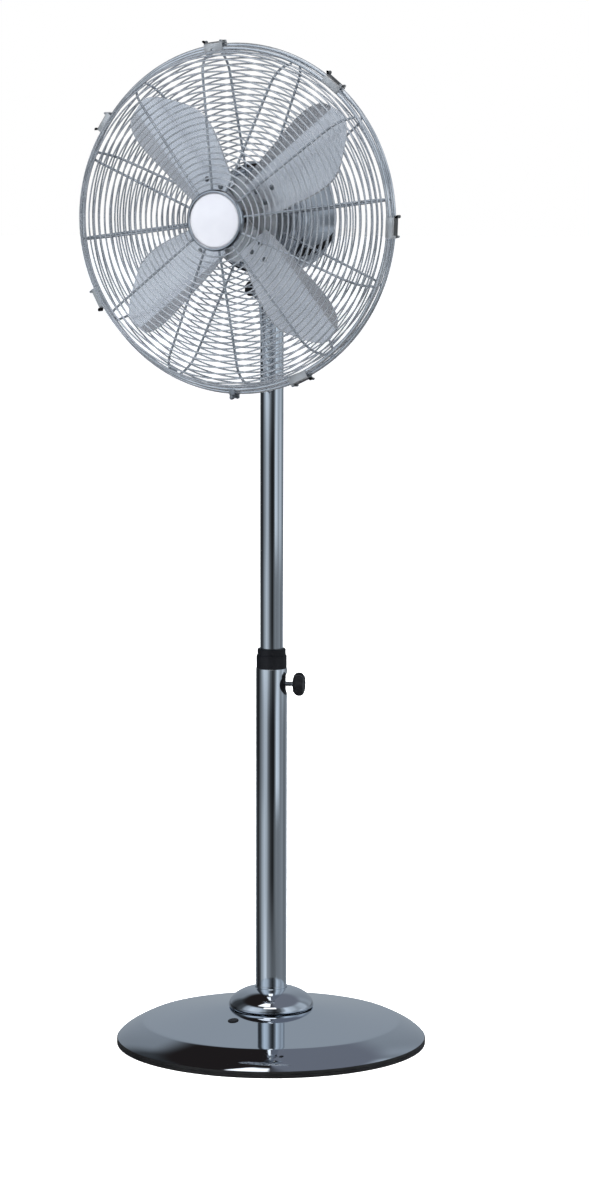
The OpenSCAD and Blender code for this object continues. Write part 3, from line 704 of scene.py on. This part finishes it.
def reflection_vents():
    """The vent along each side of the housing, as two bars to cut away. The near-black liner seen through
    it is painted reflection: it stands in for the dark band that the chrome barrel reflects along its lower
    side.
    """
    side = rounded([(h, a) for a, h in reversed(REFLECTION_VENT_TOP + REFLECTION_VENT_BOTTOM)], 2.5, 4)
    turn = Matrix(((0, 0, 1, 0), (1, 0, 0, 0), (0, 1, 0, 0), (0, 0, 0, 1)))
    return merge([placed(prism(side, low, low + 50), turn) for low in (-90, 40)])


def build_motor():
    front = rounded([(8.1, 46.2, 0), (8.1, 63, 0.5), (12.4, 63, 0.8), (12.4, 51, 0.2), (16, 51, 0.4),
                     (16.4, 50.6, 0.4), (52, 50, 3), (60, 47.8, 5), (64.6, 43, 5), (motor_r, 39, 3),
                     (motor_r, 36.2, 0.3), (motor_r - 1.2, 36.2, 0.2), (motor_r - 1.2, 39, 3),
                     (63.3, 42.4, 4), (59.2, 46.4, 4), (51.6, 48.7, 3), (14, 49.2, 0.5), (14, 37, 0.4),
                     (12.35, 37, 0.2), (12.35, 46.2, 0.2)], 0.3, 5)
    on_head("front_shell", lathe(front, 192), motor_chrome, "motor_front_cover")

    skin = motor_r - 1.2
    barrel = rounded([(skin, -37.9), (motor_r, -37.9, 0.3), (motor_r, 29.6), (motor_r - 0.35, 30.1, 0.2),
                      (motor_r - 0.35, 30.7, 0.2), (motor_r, 31.2), (motor_r, 35.9, 0.3),
                      (skin, 35.9)], 0.3, 3)
    body = on_head("barrel", lathe(barrel, 192), motor_chrome, "motor_barrel")
    cut(body, reflection_vents(), HEAD)
    cut(body, rod(27.5, 40, 80, 96), HEAD @ moved(0, 0, -13) @ turned(90, "X"))
    cut(body, rod(4.2, 40, 80, 40), HEAD @ moved(0, 0, -27) @ turned(-90, "X"))

    back = [(motor_r, -38), (motor_r, -52), (48, -58), (24, -60)]
    outer = [tuple(bezier(back, k / 26)) for k in range(27)] + [(8, -60.4), (0, -60.5)]
    inner = [(0, -59.3), (8, -59.2)]
    inner += [tuple(bezier(back, k / 26) + Vector((-1.2 * (1 - k / 26), 1.2 * k / 26)))
              for k in range(26, -1, -1)]
    cap = on_head("rear_shell", lathe(outer + inner, 192), motor_chrome, "motor_rear_cap")
    cut(cap, reflection_vents(), HEAD)
    slot = prism(box_outline(20, 3, 1.45, 5), -70, -50)
    slot_spots = [moved(side * 24, 9.5 + 7 * row, 0) for row in range(5) for side in (-1, 1)]
    cut(cap, copies(slot, slot_spots), HEAD)
    cut(cap, rod(24, 40, 80, 96), HEAD @ moved(0, 0, -30) @ turned(90, "X"))
    dial_y, dots_r = -23, 15.5
    cut(cap, rod(3.6, -70, -50, 40), HEAD @ moved(0, dial_y, 0))

    dots = []
    for angle in (math.radians(90 - 30 * k) for k in range(4)):
        spot = moved(dots_r * math.cos(angle), dial_y + dots_r * math.sin(angle), -59.4)
        dots.append(placed(dome(0.9, 0.35), spot @ turned(180, "X")))
    on_head("dial_dots", merge(dots), black_plastic)

    gland_at = HEAD @ moved(0, -46, -52) @ turned(125, "X")
    gland = rounded([(3, -5), (5, -5), (5, 3), (7.5, 3), (7.5, 7.6, 0.6), (5.6, 8, 0.4), (5.2, 9.4, 0.3),
                     (5.3, 10, 0.2), (5.0, 11.4, 0.3), (5.1, 12, 0.2), (4.7, 13.4, 0.3), (4.8, 14, 0.2),
                     (4.3, 16, 0.5), (3, 16, 0.3)], 0.3, 3)
    add_mesh("gland_sleeve", *lathe(gland, 64), black_plastic, "head", gland_at, "cable_gland")

    nut = rounded([(12.5, 52.8), (27, 52.8, 0.6), (27, 55.2, 1), (25.5, 56.4, 0.8), (20.5, 57.2, 1.5),
                   (20, 64, 1.5), (18.4, 65, 0.6), (13.4, 65, 0.6), (12.5, 64, 0.4)], 0.4, 4)
    wing = placed(prism(box_outline(9.5, 4.2, 1.2, 3), 53.2, 63.4, 0.8, 3), moved(20.6, 0, 0))
    on_head("nut_body", lathe(nut, 96), black_plastic, "guard_nut")
    on_head("nut_wings", copies(wing, [turned(45 * k) for k in range(8)]), black_plastic)


# ---------- blades ----------

STRIP_AT = 22
PITCH = math.tan(math.radians(7))
STRIP_SLOPE = math.tan(math.radians(24))
CAMBER = 1 / 900
BEND = 1.6


def blade_height(y):
    """The sheet's height at a distance across the blade: cambered, then bent forward."""
    def cambered(v):
        return v * PITCH - v * v * CAMBER

    t = min(max((y - STRIP_AT + BEND) / (2 * BEND), 0), 1)
    blend = t * t * (3 - 2 * t)
    strip = cambered(STRIP_AT) + (y - STRIP_AT) * STRIP_SLOPE
    return cambered(min(y, STRIP_AT + BEND)) * (1 - blend) + strip * blend


def half_outline(parts, count):
    """Evenly spaced points along a chain of curves."""
    points = []
    for part in parts:
        points += [Vector(p) for p in curve(part, 40)][(1 if points else 0):]
    lengths = [0]
    for a, b in zip(points, points[1:]):
        lengths.append(lengths[-1] + (b - a).length)
    out, i = [], 0
    for k in range(count + 1):
        want = lengths[-1] * k / count
        while i < len(lengths) - 2 and lengths[i + 1] < want:
            i += 1
        t = (want - lengths[i]) / (lengths[i + 1] - lengths[i])
        out.append(points[i].lerp(points[i + 1], t))
    return out


def blade_mesh():
    """One blade as a closed sheet: two skins from edge to edge, and a rounded rim between them."""
    tip = (blade_tip + 0.4, 7)
    upper = half_outline([[(34, 24), (58, 32), (88, 33), (118, 37.5)],
                          [(118, 37.5), (150, 42), (176, 42), (blade_tip - 3.5, 22)],
                          [(blade_tip - 3.5, 22), (blade_tip - 1.8, 17), (blade_tip + 0.2, 12), tip]], 84)
    lower = half_outline([[(34, -23), (76, -33), (116, -52), (142, -34.5)],
                          [(142, -34.5), (160, -22), (blade_tip - 1.5, -8), tip]], 84)
    across = 44
    half = 0.6
    top, bottom = [], []
    rows = list(zip(lower, upper))[:-1]
    for low, high in rows:
        line = [low.lerp(high, k / across) for k in range(across + 1)]
        top.append([(p.x, p.y, blade_height(p.y) + half) for p in line])
        bottom.append([(p.x, p.y, blade_height(p.y) - half) for p in line])
    verts = [p for row in top for p in row] + [p for row in bottom for p in row]
    wide = across + 1
    shift = len(rows) * wide
    tips = (len(verts), len(verts) + 1)
    tip_h = blade_height(tip[1])
    verts += [(tip[0] - 0.4, tip[1], tip_h + half), (tip[0] - 0.4, tip[1], tip_h - half)]
    faces = []
    for i in range(len(rows) - 1):
        for k in range(across):
            a = i * wide + k
            faces.append([a, a + 1, a + wide + 1, a + wide])
            faces.append([shift + a, shift + a + wide, shift + a + wide + 1, shift + a + 1])
    last = (len(rows) - 1) * wide
    for k in range(across):
        faces.append([last + k, last + k + 1, tips[0]])
        faces.append([shift + last + k + 1, shift + last + k, tips[1]])
    # The sheet's rim is rolled round with one more line of points.
    loop = [i * wide for i in range(len(rows))] + [tips[0]]
    loop += [i * wide + across for i in range(len(rows) - 1, -1, -1)]
    loop += [k for k in range(across - 1, 0, -1)]
    under = [(tips[1] if v == tips[0] else v + shift) for v in loop]
    outline = [(verts[v][0], verts[v][1]) for v in loop]
    inward = inset_normals(outline)
    rim = len(verts)
    for (x, y), (nx, ny), v in zip(outline, inward, loop):
        verts.append((x - nx * 0.35, y - ny * 0.35, verts[v][2] - half))
    count = len(loop)
    for k in range(count):
        n = (k + 1) % count
        faces.append([loop[k], loop[n], rim + n, rim + k])
        faces.append([rim + k, rim + n, under[n], under[k]])
    return verts, faces


def build_rotor():
    blade = blade_mesh()
    spots = [(42, -8), (42, 8), (60, 0)]
    rivets = []
    for x, y in spots:
        head = lathe([(0, 1.9), (1.4, 1.8), (2.4, 1.45), (3.0, 0.95), (3.2, 0.6), (2, 0.58), (2, -2.35),
                      (2.8, -2.45), (2.4, -2.95), (1.2, -3.35), (0, -3.4)], 32)
        rivets.append(placed(head, moved(x, y, blade_height(y)) @ turned(7, "X")))
    turns = [turned(blade_phase + 360 * k / blade_count) for k in range(blade_count)]
    at = HEAD @ moved(0, 0, blade_z)
    add_mesh("blade_sheets", *copies(blade, turns), blade_metal, "rotor", at,
             "blades", sharp=50)
    add_mesh("blade_rivets", *copies(merge(rivets), turns), rivet_metal, "rotor", at,
             "rivets")
    nose = rounded([(4.03, 1.2), (14, 1.2, 0.4), (15, 2.4, 0.5), (15, 23, 3), (12, 28, 3), (4.6, 29.5, 1),
                    (4.6, 26.2, 0.3), (4.03, 26.2)], 0.4, 4)
    verts, faces = lobed(nose, 8, 1.1, 128)
    add_mesh("spinner_nut", verts, faces, black_plastic, "rotor", at, "spinner")


# ---------- cage ----------

class Guard:
    """One half of the cage: a rib's path in the plane of its radius and the shaft."""

    def __init__(self, start, heading, straight, bend_r, turn, tail, side):
        self.start = Vector(start)
        self.heading = heading
        self.straight = straight
        self.bend_r = bend_r
        self.turn = turn
        self.tail = tail
        self.side = side
        self.bend = bend_r * math.radians(abs(turn))
        self.length = straight + self.bend + tail

    def at(self, s):
        """The point at a distance along the rib, and the unit vector to its outer side."""
        sign = 1 if self.turn > 0 else -1
        turned_by = min(abs(self.turn), max(0, math.degrees((s - self.straight) / self.bend_r)))
        angle = math.radians(self.heading + sign * turned_by)
        first = math.radians(self.heading)
        along = Vector((math.cos(angle), math.sin(angle)))
        left = Vector((-math.sin(angle), math.cos(angle)))
        first_along = Vector((math.cos(first), math.sin(first)))
        first_left = Vector((-math.sin(first), math.cos(first)))
        point = self.start + first_along * self.straight + sign * self.bend_r * (first_left - left)
        point += along * (min(s, self.straight) - self.straight + max(0, s - self.straight - self.bend))
        return point, left * self.side

    def rib_path(self, reach):
        stops = [self.straight * k / 12 for k in range(12)]
        stops += [self.straight + self.bend * k / 14 for k in range(15)]
        stops += [self.straight + self.bend + (self.tail + reach) * k / 4 for k in range(1, 5)]
        return [(p.x, 0, p.y) for p in (self.at(s)[0] for s in stops)]

    def ring_stops(self, first, keep):
        stops = []
        s = first
        while s <= self.length - 5:
            if keep(s):
                stops.append(s)
            s += ring_pitch
        return stops


# A ring wire sinks this far into a rib, and its weld bead stands this far out of the rib.
WELD_SINK = 0.12


def rib_turns():
    return [turned(rib_phase + 360 * k / rib_count) for k in range(rib_count)]


front_guard = Guard((cap_r - 2.6, 151.3), -4.5, 135.6, 26, -72, 14.6, 1)
rear_guard = Guard((44, 54.3), 6.2, 129.3, 30, 60, 10.6, -1)


def guard_wires(guard, first, name, face_node, side_node, hub, hub_node):
    """A guard's ribs and hub plate, the rings on its face and round its side, and their welds."""
    offset = rib_wire / 2 + ring_wire / 2 - WELD_SINK
    split = guard.straight - 2

    def rings(keep):
        parts = []
        for s in guard.ring_stops(first, keep):
            point, out = guard.at(s)
            point = point + out * offset
            parts.append(ring(point.x, point.y, ring_wire / 2))
        return parts

    around = rib_turns()
    rib = sweep(guard.rib_path(0.5), rib_wire / 2, 14)
    welds = []
    for s in guard.ring_stops(first, lambda s: True):
        point, out = guard.at(s)
        spot = point + out * (rib_wire / 2 + WELD_SINK)
        tilt = math.degrees(math.atan2(out.x, out.y))
        nugget = placed(lathe([(0, 0.55), (0.6, 0.45), (0.95, 0), (0.6, -0.45), (0, -0.55)], 8),
                        moved(spot.x, 0, spot.y) @ turned(tilt, "Y"))
        welds.append(copies(nugget, around))
    face = rings(lambda s: s <= split)
    side = rings(lambda s: s > split)
    on_head(name + "_face_rings", merge(face), ring_metal, face_node)
    on_head(name + "_side_rings", merge(side), ring_metal, side_node)
    on_head(name + "_ribs", merge([copies(rib, around), hub]), rib_metal, hub_node)
    on_head(name + "_welds", merge(welds), rib_metal)


def build_cage():
    plate_r = cap_r - 0.8
    front_hub = lathe(rounded([(0, 147.9), (plate_r, 147.9, 0.4), (plate_r, 149.5, 0.4), (0, 149.5)],
                              0.3, 3, closed=False), 96)
    rear_hub = lathe(rounded([(12.6, 51.1), (46, 51.1, 0.4), (46, 52.7, 0.4), (30.5, 52.7, 0.8),
                              (29.7, 52.1, 0.5), (28.2, 52.1, 0.5), (27.4, 52.7, 0.8),
                              (12.6, 52.7)], 0.3, 3), 96)
    front_hoop = ring(front_r, front_z, hoop_wire / 2, 256, 20)
    guard_wires(front_guard, 8.6, "front", "front_face_rings", "front_rim", front_hub, "front_ribs")
    on_head("front_hoop_wire", front_hoop, hoop_metal)
    guard_wires(rear_guard, 8, "rear", "rear_face_rings", "rear_side_rings", rear_hub, "rear_ribs")
    rear_hoop = ring(rear_r, rear_z, hoop_wire / 2, 256, 20)
    on_head("rear_hoop_wire", rear_hoop, hoop_metal, "rear_hoop")

    bezel = rounded([(cap_r - 4.4, 149.6), (cap_r - 4.4, 155.2, 0.5), (cap_r - 3.4, 156.6, 0.8),
                     (cap_r - 1.5, 156.3, 1.2), (cap_r + 0.1, 154.5, 1.2), (cap_r + 0.3, 153.2, 0.3),
                     (cap_r - 2.6, 153.2, 0.2), (cap_r - 3.4, 152.6, 0.2), (cap_r - 3.4, 149.6)], 0.25, 4)
    on_head("cap_ring", lathe(bezel, 160), bezel_metal, "cap_bezel")
    face_r = cap_r - 4.6
    disc = [(0, 150.4), (face_r, 150.4), (face_r, 154.5), (face_r - 0.25, 154.9), (face_r - 0.7, 155.05)]
    disc += [((face_r - 0.7) * k / 16, 156.65 - 1.6 * (k / 16) ** 2) for k in range(15, -1, -1)]
    on_head("cap_disc", lathe(disc, 160), cap_metal, "cap_plate")


# ---------- clips ----------

CLIP_L, CLIP_W, CLIP_X = 24, 14.6, 0.2
HINGE_X, HINGE_Y, KNUCKLE_L = 2.5, -10, 3
LEVER_W = CLIP_W - 2 * KNUCKLE_L - 0.4


def channel_section(deep):
    """Across the clip, x outwards and y forward: bent sheet that straddles both hoops."""
    half, sheet, back, shallow = CLIP_W / 2, 1.0, CLIP_X + 1, -2.2
    outline = [(shallow, -half), (back, -half, 1.6), (back, half, 1.6), (deep, half),
               (deep, half - sheet), (CLIP_X, half - sheet, 0.8), (CLIP_X, -half + sheet, 0.8),
               (shallow, -half + sheet)]
    return rounded(outline, 0.35, 4)


def arc(x, y, radius, angles):
    """Points round a centre, each angle counted from straight down."""
    turns = [math.radians(a) for a in angles]
    return [(x + radius * math.sin(a), y - radius * math.cos(a)) for a in turns]


def lever_outline():
    """x outwards and y along the rim from the hinge: a strap with a curled tip."""
    tip_x, tip_y, tip_r = 0.75, CLIP_L - 0.5, 2.0
    curl = arc(tip_x, tip_y, tip_r, range(-75, 151, 15))
    inside = arc(tip_x, tip_y, tip_r - 1, range(150, -46, -15))
    barrel = arc(0, 0, 1.2, range(190, -91, -20))
    under = [(-1.15, 1.5), (-1.15, 12), (-1.15, tip_y - 1.4)]
    over = [(-0.15, tip_y - 1.6), (-0.1, 12), (-0.1, 2.4)]
    return under + curl + inside + over + barrel


def clip_place(angle):
    """The middle of a clip's back, with x outwards and y along the rim."""
    return turned(angle) @ moved(rear_r + hoop_wire / 2, 0, clip_mid_z)


def build_clips():
    strap = prism(lever_outline(), -LEVER_W / 2, LEVER_W / 2, 0.25, 2)
    pin = lathe(rounded([(0, -7.1), (0.65, -7.1), (0.65, 7.1), (0, 7.1)], 0.2, 2, closed=False), 20)
    bead = prism(box_outline(3.2, 12, 1.5, 4), 0, 0.5, 0.3, 2)
    bead = placed(bead, moved(-0.3, 11.5, 0) @ turned(90, "Y"))
    lever = merge([strap, pin, bead])
    for index, angle in enumerate(clip_angles, start=1):
        node = f"clip_lever_{index}"
        at = HEAD @ clip_place(angle) @ moved(HINGE_X, HINGE_Y, 0)
        add_mesh(f"lever_{index}", *lever, lever_metal, node, at, node)
    channel = placed(prism(channel_section(-8.5), -CLIP_L / 2, CLIP_L / 2, 0.25, 2), turned(90, "X"))
    channels = []
    for angle in clip_angles:
        here = clip_place(angle)
        channels.append(placed(channel, here))
        for z in (-CLIP_W / 2, CLIP_W / 2 - KNUCKLE_L):
            hinge = here @ moved(HINGE_X, HINGE_Y, z)
            knuckle = rounded([(0.7, 0), (1.5, 0), (1.5, KNUCKLE_L), (0.7, KNUCKLE_L)], 0.2, 2)
            channels.append(placed(lathe(knuckle, 32), hinge))
            foot = prism(box_outline(0.8, 3, 0.15, 2), 0.05, KNUCKLE_L - 0.05, 0.1)
            channels.append(placed(foot, hinge @ moved(-1.15, 0, 0)))
    clips = on_head("clip_bodies", merge(channels), clip_metal, "clip_channels")
    notch = placed(prism(box_outline(10.2, 3.8, 1, 3), front_z, front_z + 8), moved(front_r - 3.9, 0, 0))
    cut(clips, copies(notch, rib_turns()), HEAD)

    strap = placed(prism(channel_section(-6), -3.5, 3.5, 0.25, 2), turned(90, "X"))
    screw = lathe(rounded([(0, -8.9), (1.5, -8.9), (1.5, 7.0), (2.8, 7.0, 0.2), (2.8, 8.4, 0.7),
                           (1.2, 8.9, 0.4), (0, 8.9)], 0.15, 3, closed=False), 40)
    nut = prism(circle(2.9, 6), -8.9, -6.6, 0.25)
    ears = [placed(prism(box_outline(4.6, 5, 1, 3), z, z + 1.2, 0.2), moved(-0.3, 0, 0)) for z in (-6, 4.8)]
    add_mesh("guard_screw", *merge([strap] + [placed(m, moved(3.2, 0, 0)) for m in [screw, nut] + ears]),
             zinc, "head", HEAD @ clip_place(safety_angle), "safety_screw")


# ---------- studio ----------

# The lens stands AIM degrees round from the fan's front, CAMERA_FAR metres from the pole's axis.
# CAMERA_H is in metres, the other angles in degrees, and the focal length LENS in millimetres.
AIM = 25.7
CAMERA_FAR = 4.8
CAMERA_H = 1.142
CAMERA_PITCH = 7.08
CAMERA_YAW = 0.33
CAMERA_ROLL = 0.115
LENS = 119.93

# How much brighter the studio's panels are than their screen levels.
PANEL_GAIN = 1.22


def build_camera():
    data = bpy.data.cameras.new("camera")
    data.sensor_fit = "AUTO"
    data.sensor_width = 36
    data.lens = LENS
    data.dof.use_dof = False
    camera = add_object("camera", data)
    aim = math.radians(AIM)
    place = Matrix.Translation((CAMERA_FAR * math.sin(aim), -CAMERA_FAR * math.cos(aim), CAMERA_H))
    turn = turned(AIM) @ turned(-CAMERA_YAW) @ turned(90 - CAMERA_PITCH, "X") @ turned(CAMERA_ROLL)
    camera.matrix_world = place @ turn
    bpy.context.scene.camera = camera


def build_floor():
    mesh = bpy.data.meshes.new("floor")
    bm = bmesh.new()
    bmesh.ops.create_circle(bm, cap_ends=True, radius=30, segments=64)
    bm.to_mesh(mesh)
    bm.free()
    floor = add_object("floor", mesh)
    shader = Shader("floor_paper", (248, 248, 248), 0, 0.8, Specular_IOR_Level=0.1)
    shader.tint(shader.noise(3, 2), (247, 247, 247), (250, 250, 250))
    fill(shader.base, Emission_Color=(1, 1, 1, 1), Emission_Strength=0.8)
    mesh.materials.append(shader.material)
    floor.visible_glossy = False


def ramp(tree, value, levels):
    """Panel tones round the fan, from (degrees across, screen level from 0 to 255) pairs."""
    stops = []
    for angle, level in levels:
        r, g, b = srgb(level * 0.94, level * 0.99, level * 1.04)[:3]
        stops.append(((angle + 180) / 360, (r * PANEL_GAIN, g * PANEL_GAIN, b * PANEL_GAIN, 1)))
    node = tree.nodes.new("ShaderNodeValToRGB")
    node.color_ramp.interpolation = "EASE"
    elements = node.color_ramp.elements
    elements[0].position, elements[0].color = stops[0]
    elements[1].position, elements[1].color = stops[-1]
    for position, color in stops[1:-1]:
        elements.new(position).color = color
    tree.links.new(value, node.inputs["Fac"])
    return node.outputs["Color"]


def build_world():
    """A studio of soft panels round the fan with dark gaps between them, as the chrome sees it.

    Directions are measured from the lens side: across is 0 at the lens and positive to its
    right, and up is the height above the horizon, both in degrees.
    """
    world = bpy.data.worlds.new("studio")
    bpy.context.scene.world = world
    world.use_nodes = True
    tree = world.node_tree
    background = tree.nodes["Background"]

    def math_node(operation, a, b=None):
        node = tree.nodes.new("ShaderNodeMath")
        node.operation = operation
        for i, value in enumerate((a, b)):
            if value is None:
                continue
            if isinstance(value, (int, float)):
                node.inputs[i].default_value = value
            else:
                tree.links.new(value, node.inputs[i])
        return node.outputs["Value"]

    def dot(vector):
        node = tree.nodes.new("ShaderNodeVectorMath")
        node.operation = "DOT_PRODUCT"
        node.inputs[1].default_value = vector
        tree.links.new(coords.outputs["Generated"], node.inputs[0])
        return node.outputs["Value"]

    def smooth(value, low, high):
        node = tree.nodes.new("ShaderNodeMapRange")
        node.interpolation_type = "SMOOTHSTEP"
        fill(node, From_Min=low, From_Max=high)
        tree.links.new(value, node.inputs["Value"])
        return node.outputs["Result"]

    def mix(factor, a, b):
        node = tree.nodes.new("ShaderNodeMix")
        node.data_type = "RGBA"
        tree.links.new(factor, node.inputs["Factor"])
        for key, value in (("A", a), ("B", b)):
            if isinstance(value, tuple):
                node.inputs[key].default_value = value
            else:
                tree.links.new(value, node.inputs[key])
        return node.outputs["Result"]

    def panel(left, right, bottom, top, soft):
        edges = [smooth(across, left - soft, left + soft), smooth(across, right + soft, right - soft),
                 smooth(up, bottom - soft, bottom + soft), smooth(up, top + soft, top - soft)]
        mask = edges[0]
        for edge in edges[1:]:
            mask = math_node("MULTIPLY", mask, edge)
        return mask

    coords = tree.nodes.new("ShaderNodeTexCoord")
    aim = math.radians(AIM)
    toward = dot((math.sin(aim), -math.cos(aim), 0))
    right = dot((math.cos(aim), math.sin(aim), 0))
    rise = dot((0, 0, 1))
    across = math_node("MULTIPLY", math_node("ARCTAN2", right, toward), 180 / math.pi)
    up = math_node("MULTIPLY", math_node("ARCSINE", rise), 180 / math.pi)

    high_side = [(-180, 150), (-150, 130), (-128, 60), (-110, 50), (-90, 72), (-74, 166),
                 (-56, 206), (-34, 192), (-20, 150), (-8, 90), (10, 44), (24, 80), (34, 140),
                 (44, 206), (62, 180), (80, 150), (96, 170), (108, 176), (120, 130), (134, 146),
                 (150, 136), (180, 150)]
    side = [(-180, 150), (-150, 110), (-140, 54), (-112, 26), (-98, 60), (-84, 106), (-68, 138),
            (-52, 172), (-36, 172), (-27, 120), (-18, 80), (-5, 38), (12, 26), (20, 40), (28, 130),
            (37, 208), (52, 192), (68, 146), (76, 150), (88, 190), (100, 172), (112, 144),
            (141, 102), (180, 150)]
    low_side = [(-180, 150), (-146, 130), (-128, 50), (-112, 34), (-98, 80), (-86, 108), (-69, 158),
                (-52, 182), (-36, 164), (-22, 112), (-8, 60), (6, 30), (14, 44), (22, 92),
                (36, 118), (52, 114), (69, 120), (88, 130), (104, 104), (118, 104), (141, 152),
                (180, 150)]
    under_side = [(-180, 120), (-140, 100), (-118, 40), (-94, 36), (-74, 150), (-45, 206),
                  (-26, 130), (8, 90), (24, 92), (45, 112), (80, 120), (110, 120), (140, 96),
                  (180, 120)]
    turn = math_node("ADD", math_node("DIVIDE", across, 360), 0.5)
    level = mix(smooth(up, -2, 4), ramp(tree, turn, side), ramp(tree, turn, high_side))
    level = mix(smooth(up, -6, -10), level, ramp(tree, turn, low_side))
    level = mix(smooth(up, -13, -22), level, ramp(tree, turn, under_side))
    high = mix(smooth(across, -12, 26), srgb(36, 32, 32), srgb(116, 120, 130))
    color = mix(smooth(up, 36, 50), level, high)
    color = mix(panel(-54, -4, 56, 80, 3), color, (1.6, 1.6, 1.6, 1))
    color = mix(panel(-24, 16, 38, 50, 3), color, (2.0, 2.0, 2.0, 1))
    color = mix(smooth(up, -25, -33), color, srgb(26, 27, 30))

    seen = tree.nodes.new("ShaderNodeLightPath")
    final = mix(seen.outputs["Is Camera Ray"], color, (1, 1, 1, 1))
    tree.links.new(final, background.inputs["Color"])


def add_panel(name, position, target, width, height, power):
    data = bpy.data.lights.new(name, "AREA")
    data.shape = "RECTANGLE"
    data.size, data.size_y = width, height
    data.energy = power
    light = add_object(name, data)
    direction = Vector(target) - Vector(position)
    light.location = position
    light.rotation_euler = direction.to_track_quat("-Z", "Y").to_euler()
    light.visible_glossy = False


def build_lights():
    middle = (0, 0, 0.6)
    add_panel("overhead", (0, 0, 4.5), middle, 6, 6, 520)
    add_panel("left_panel", (-2.6, -3.4, 2.2), (0, 0, 0.8), 2.4, 2.4, 80)
    add_panel("right_panel", (3.8, -1.2, 1.8), (0, 0, 0.8), 2, 2.4, 40)
    add_panel("back_panel", (-0.8, 3.6, 2.4), (0, 0, 0.8), 2.4, 2, 50)


build_base()
build_pole()
build_knobs()
build_neck_details()
build_motor()
build_rotor()
build_cage()
build_clips()
build_camera()
build_floor()
build_world()
build_lights()
bpy.context.scene.view_settings.view_transform = "Standard"
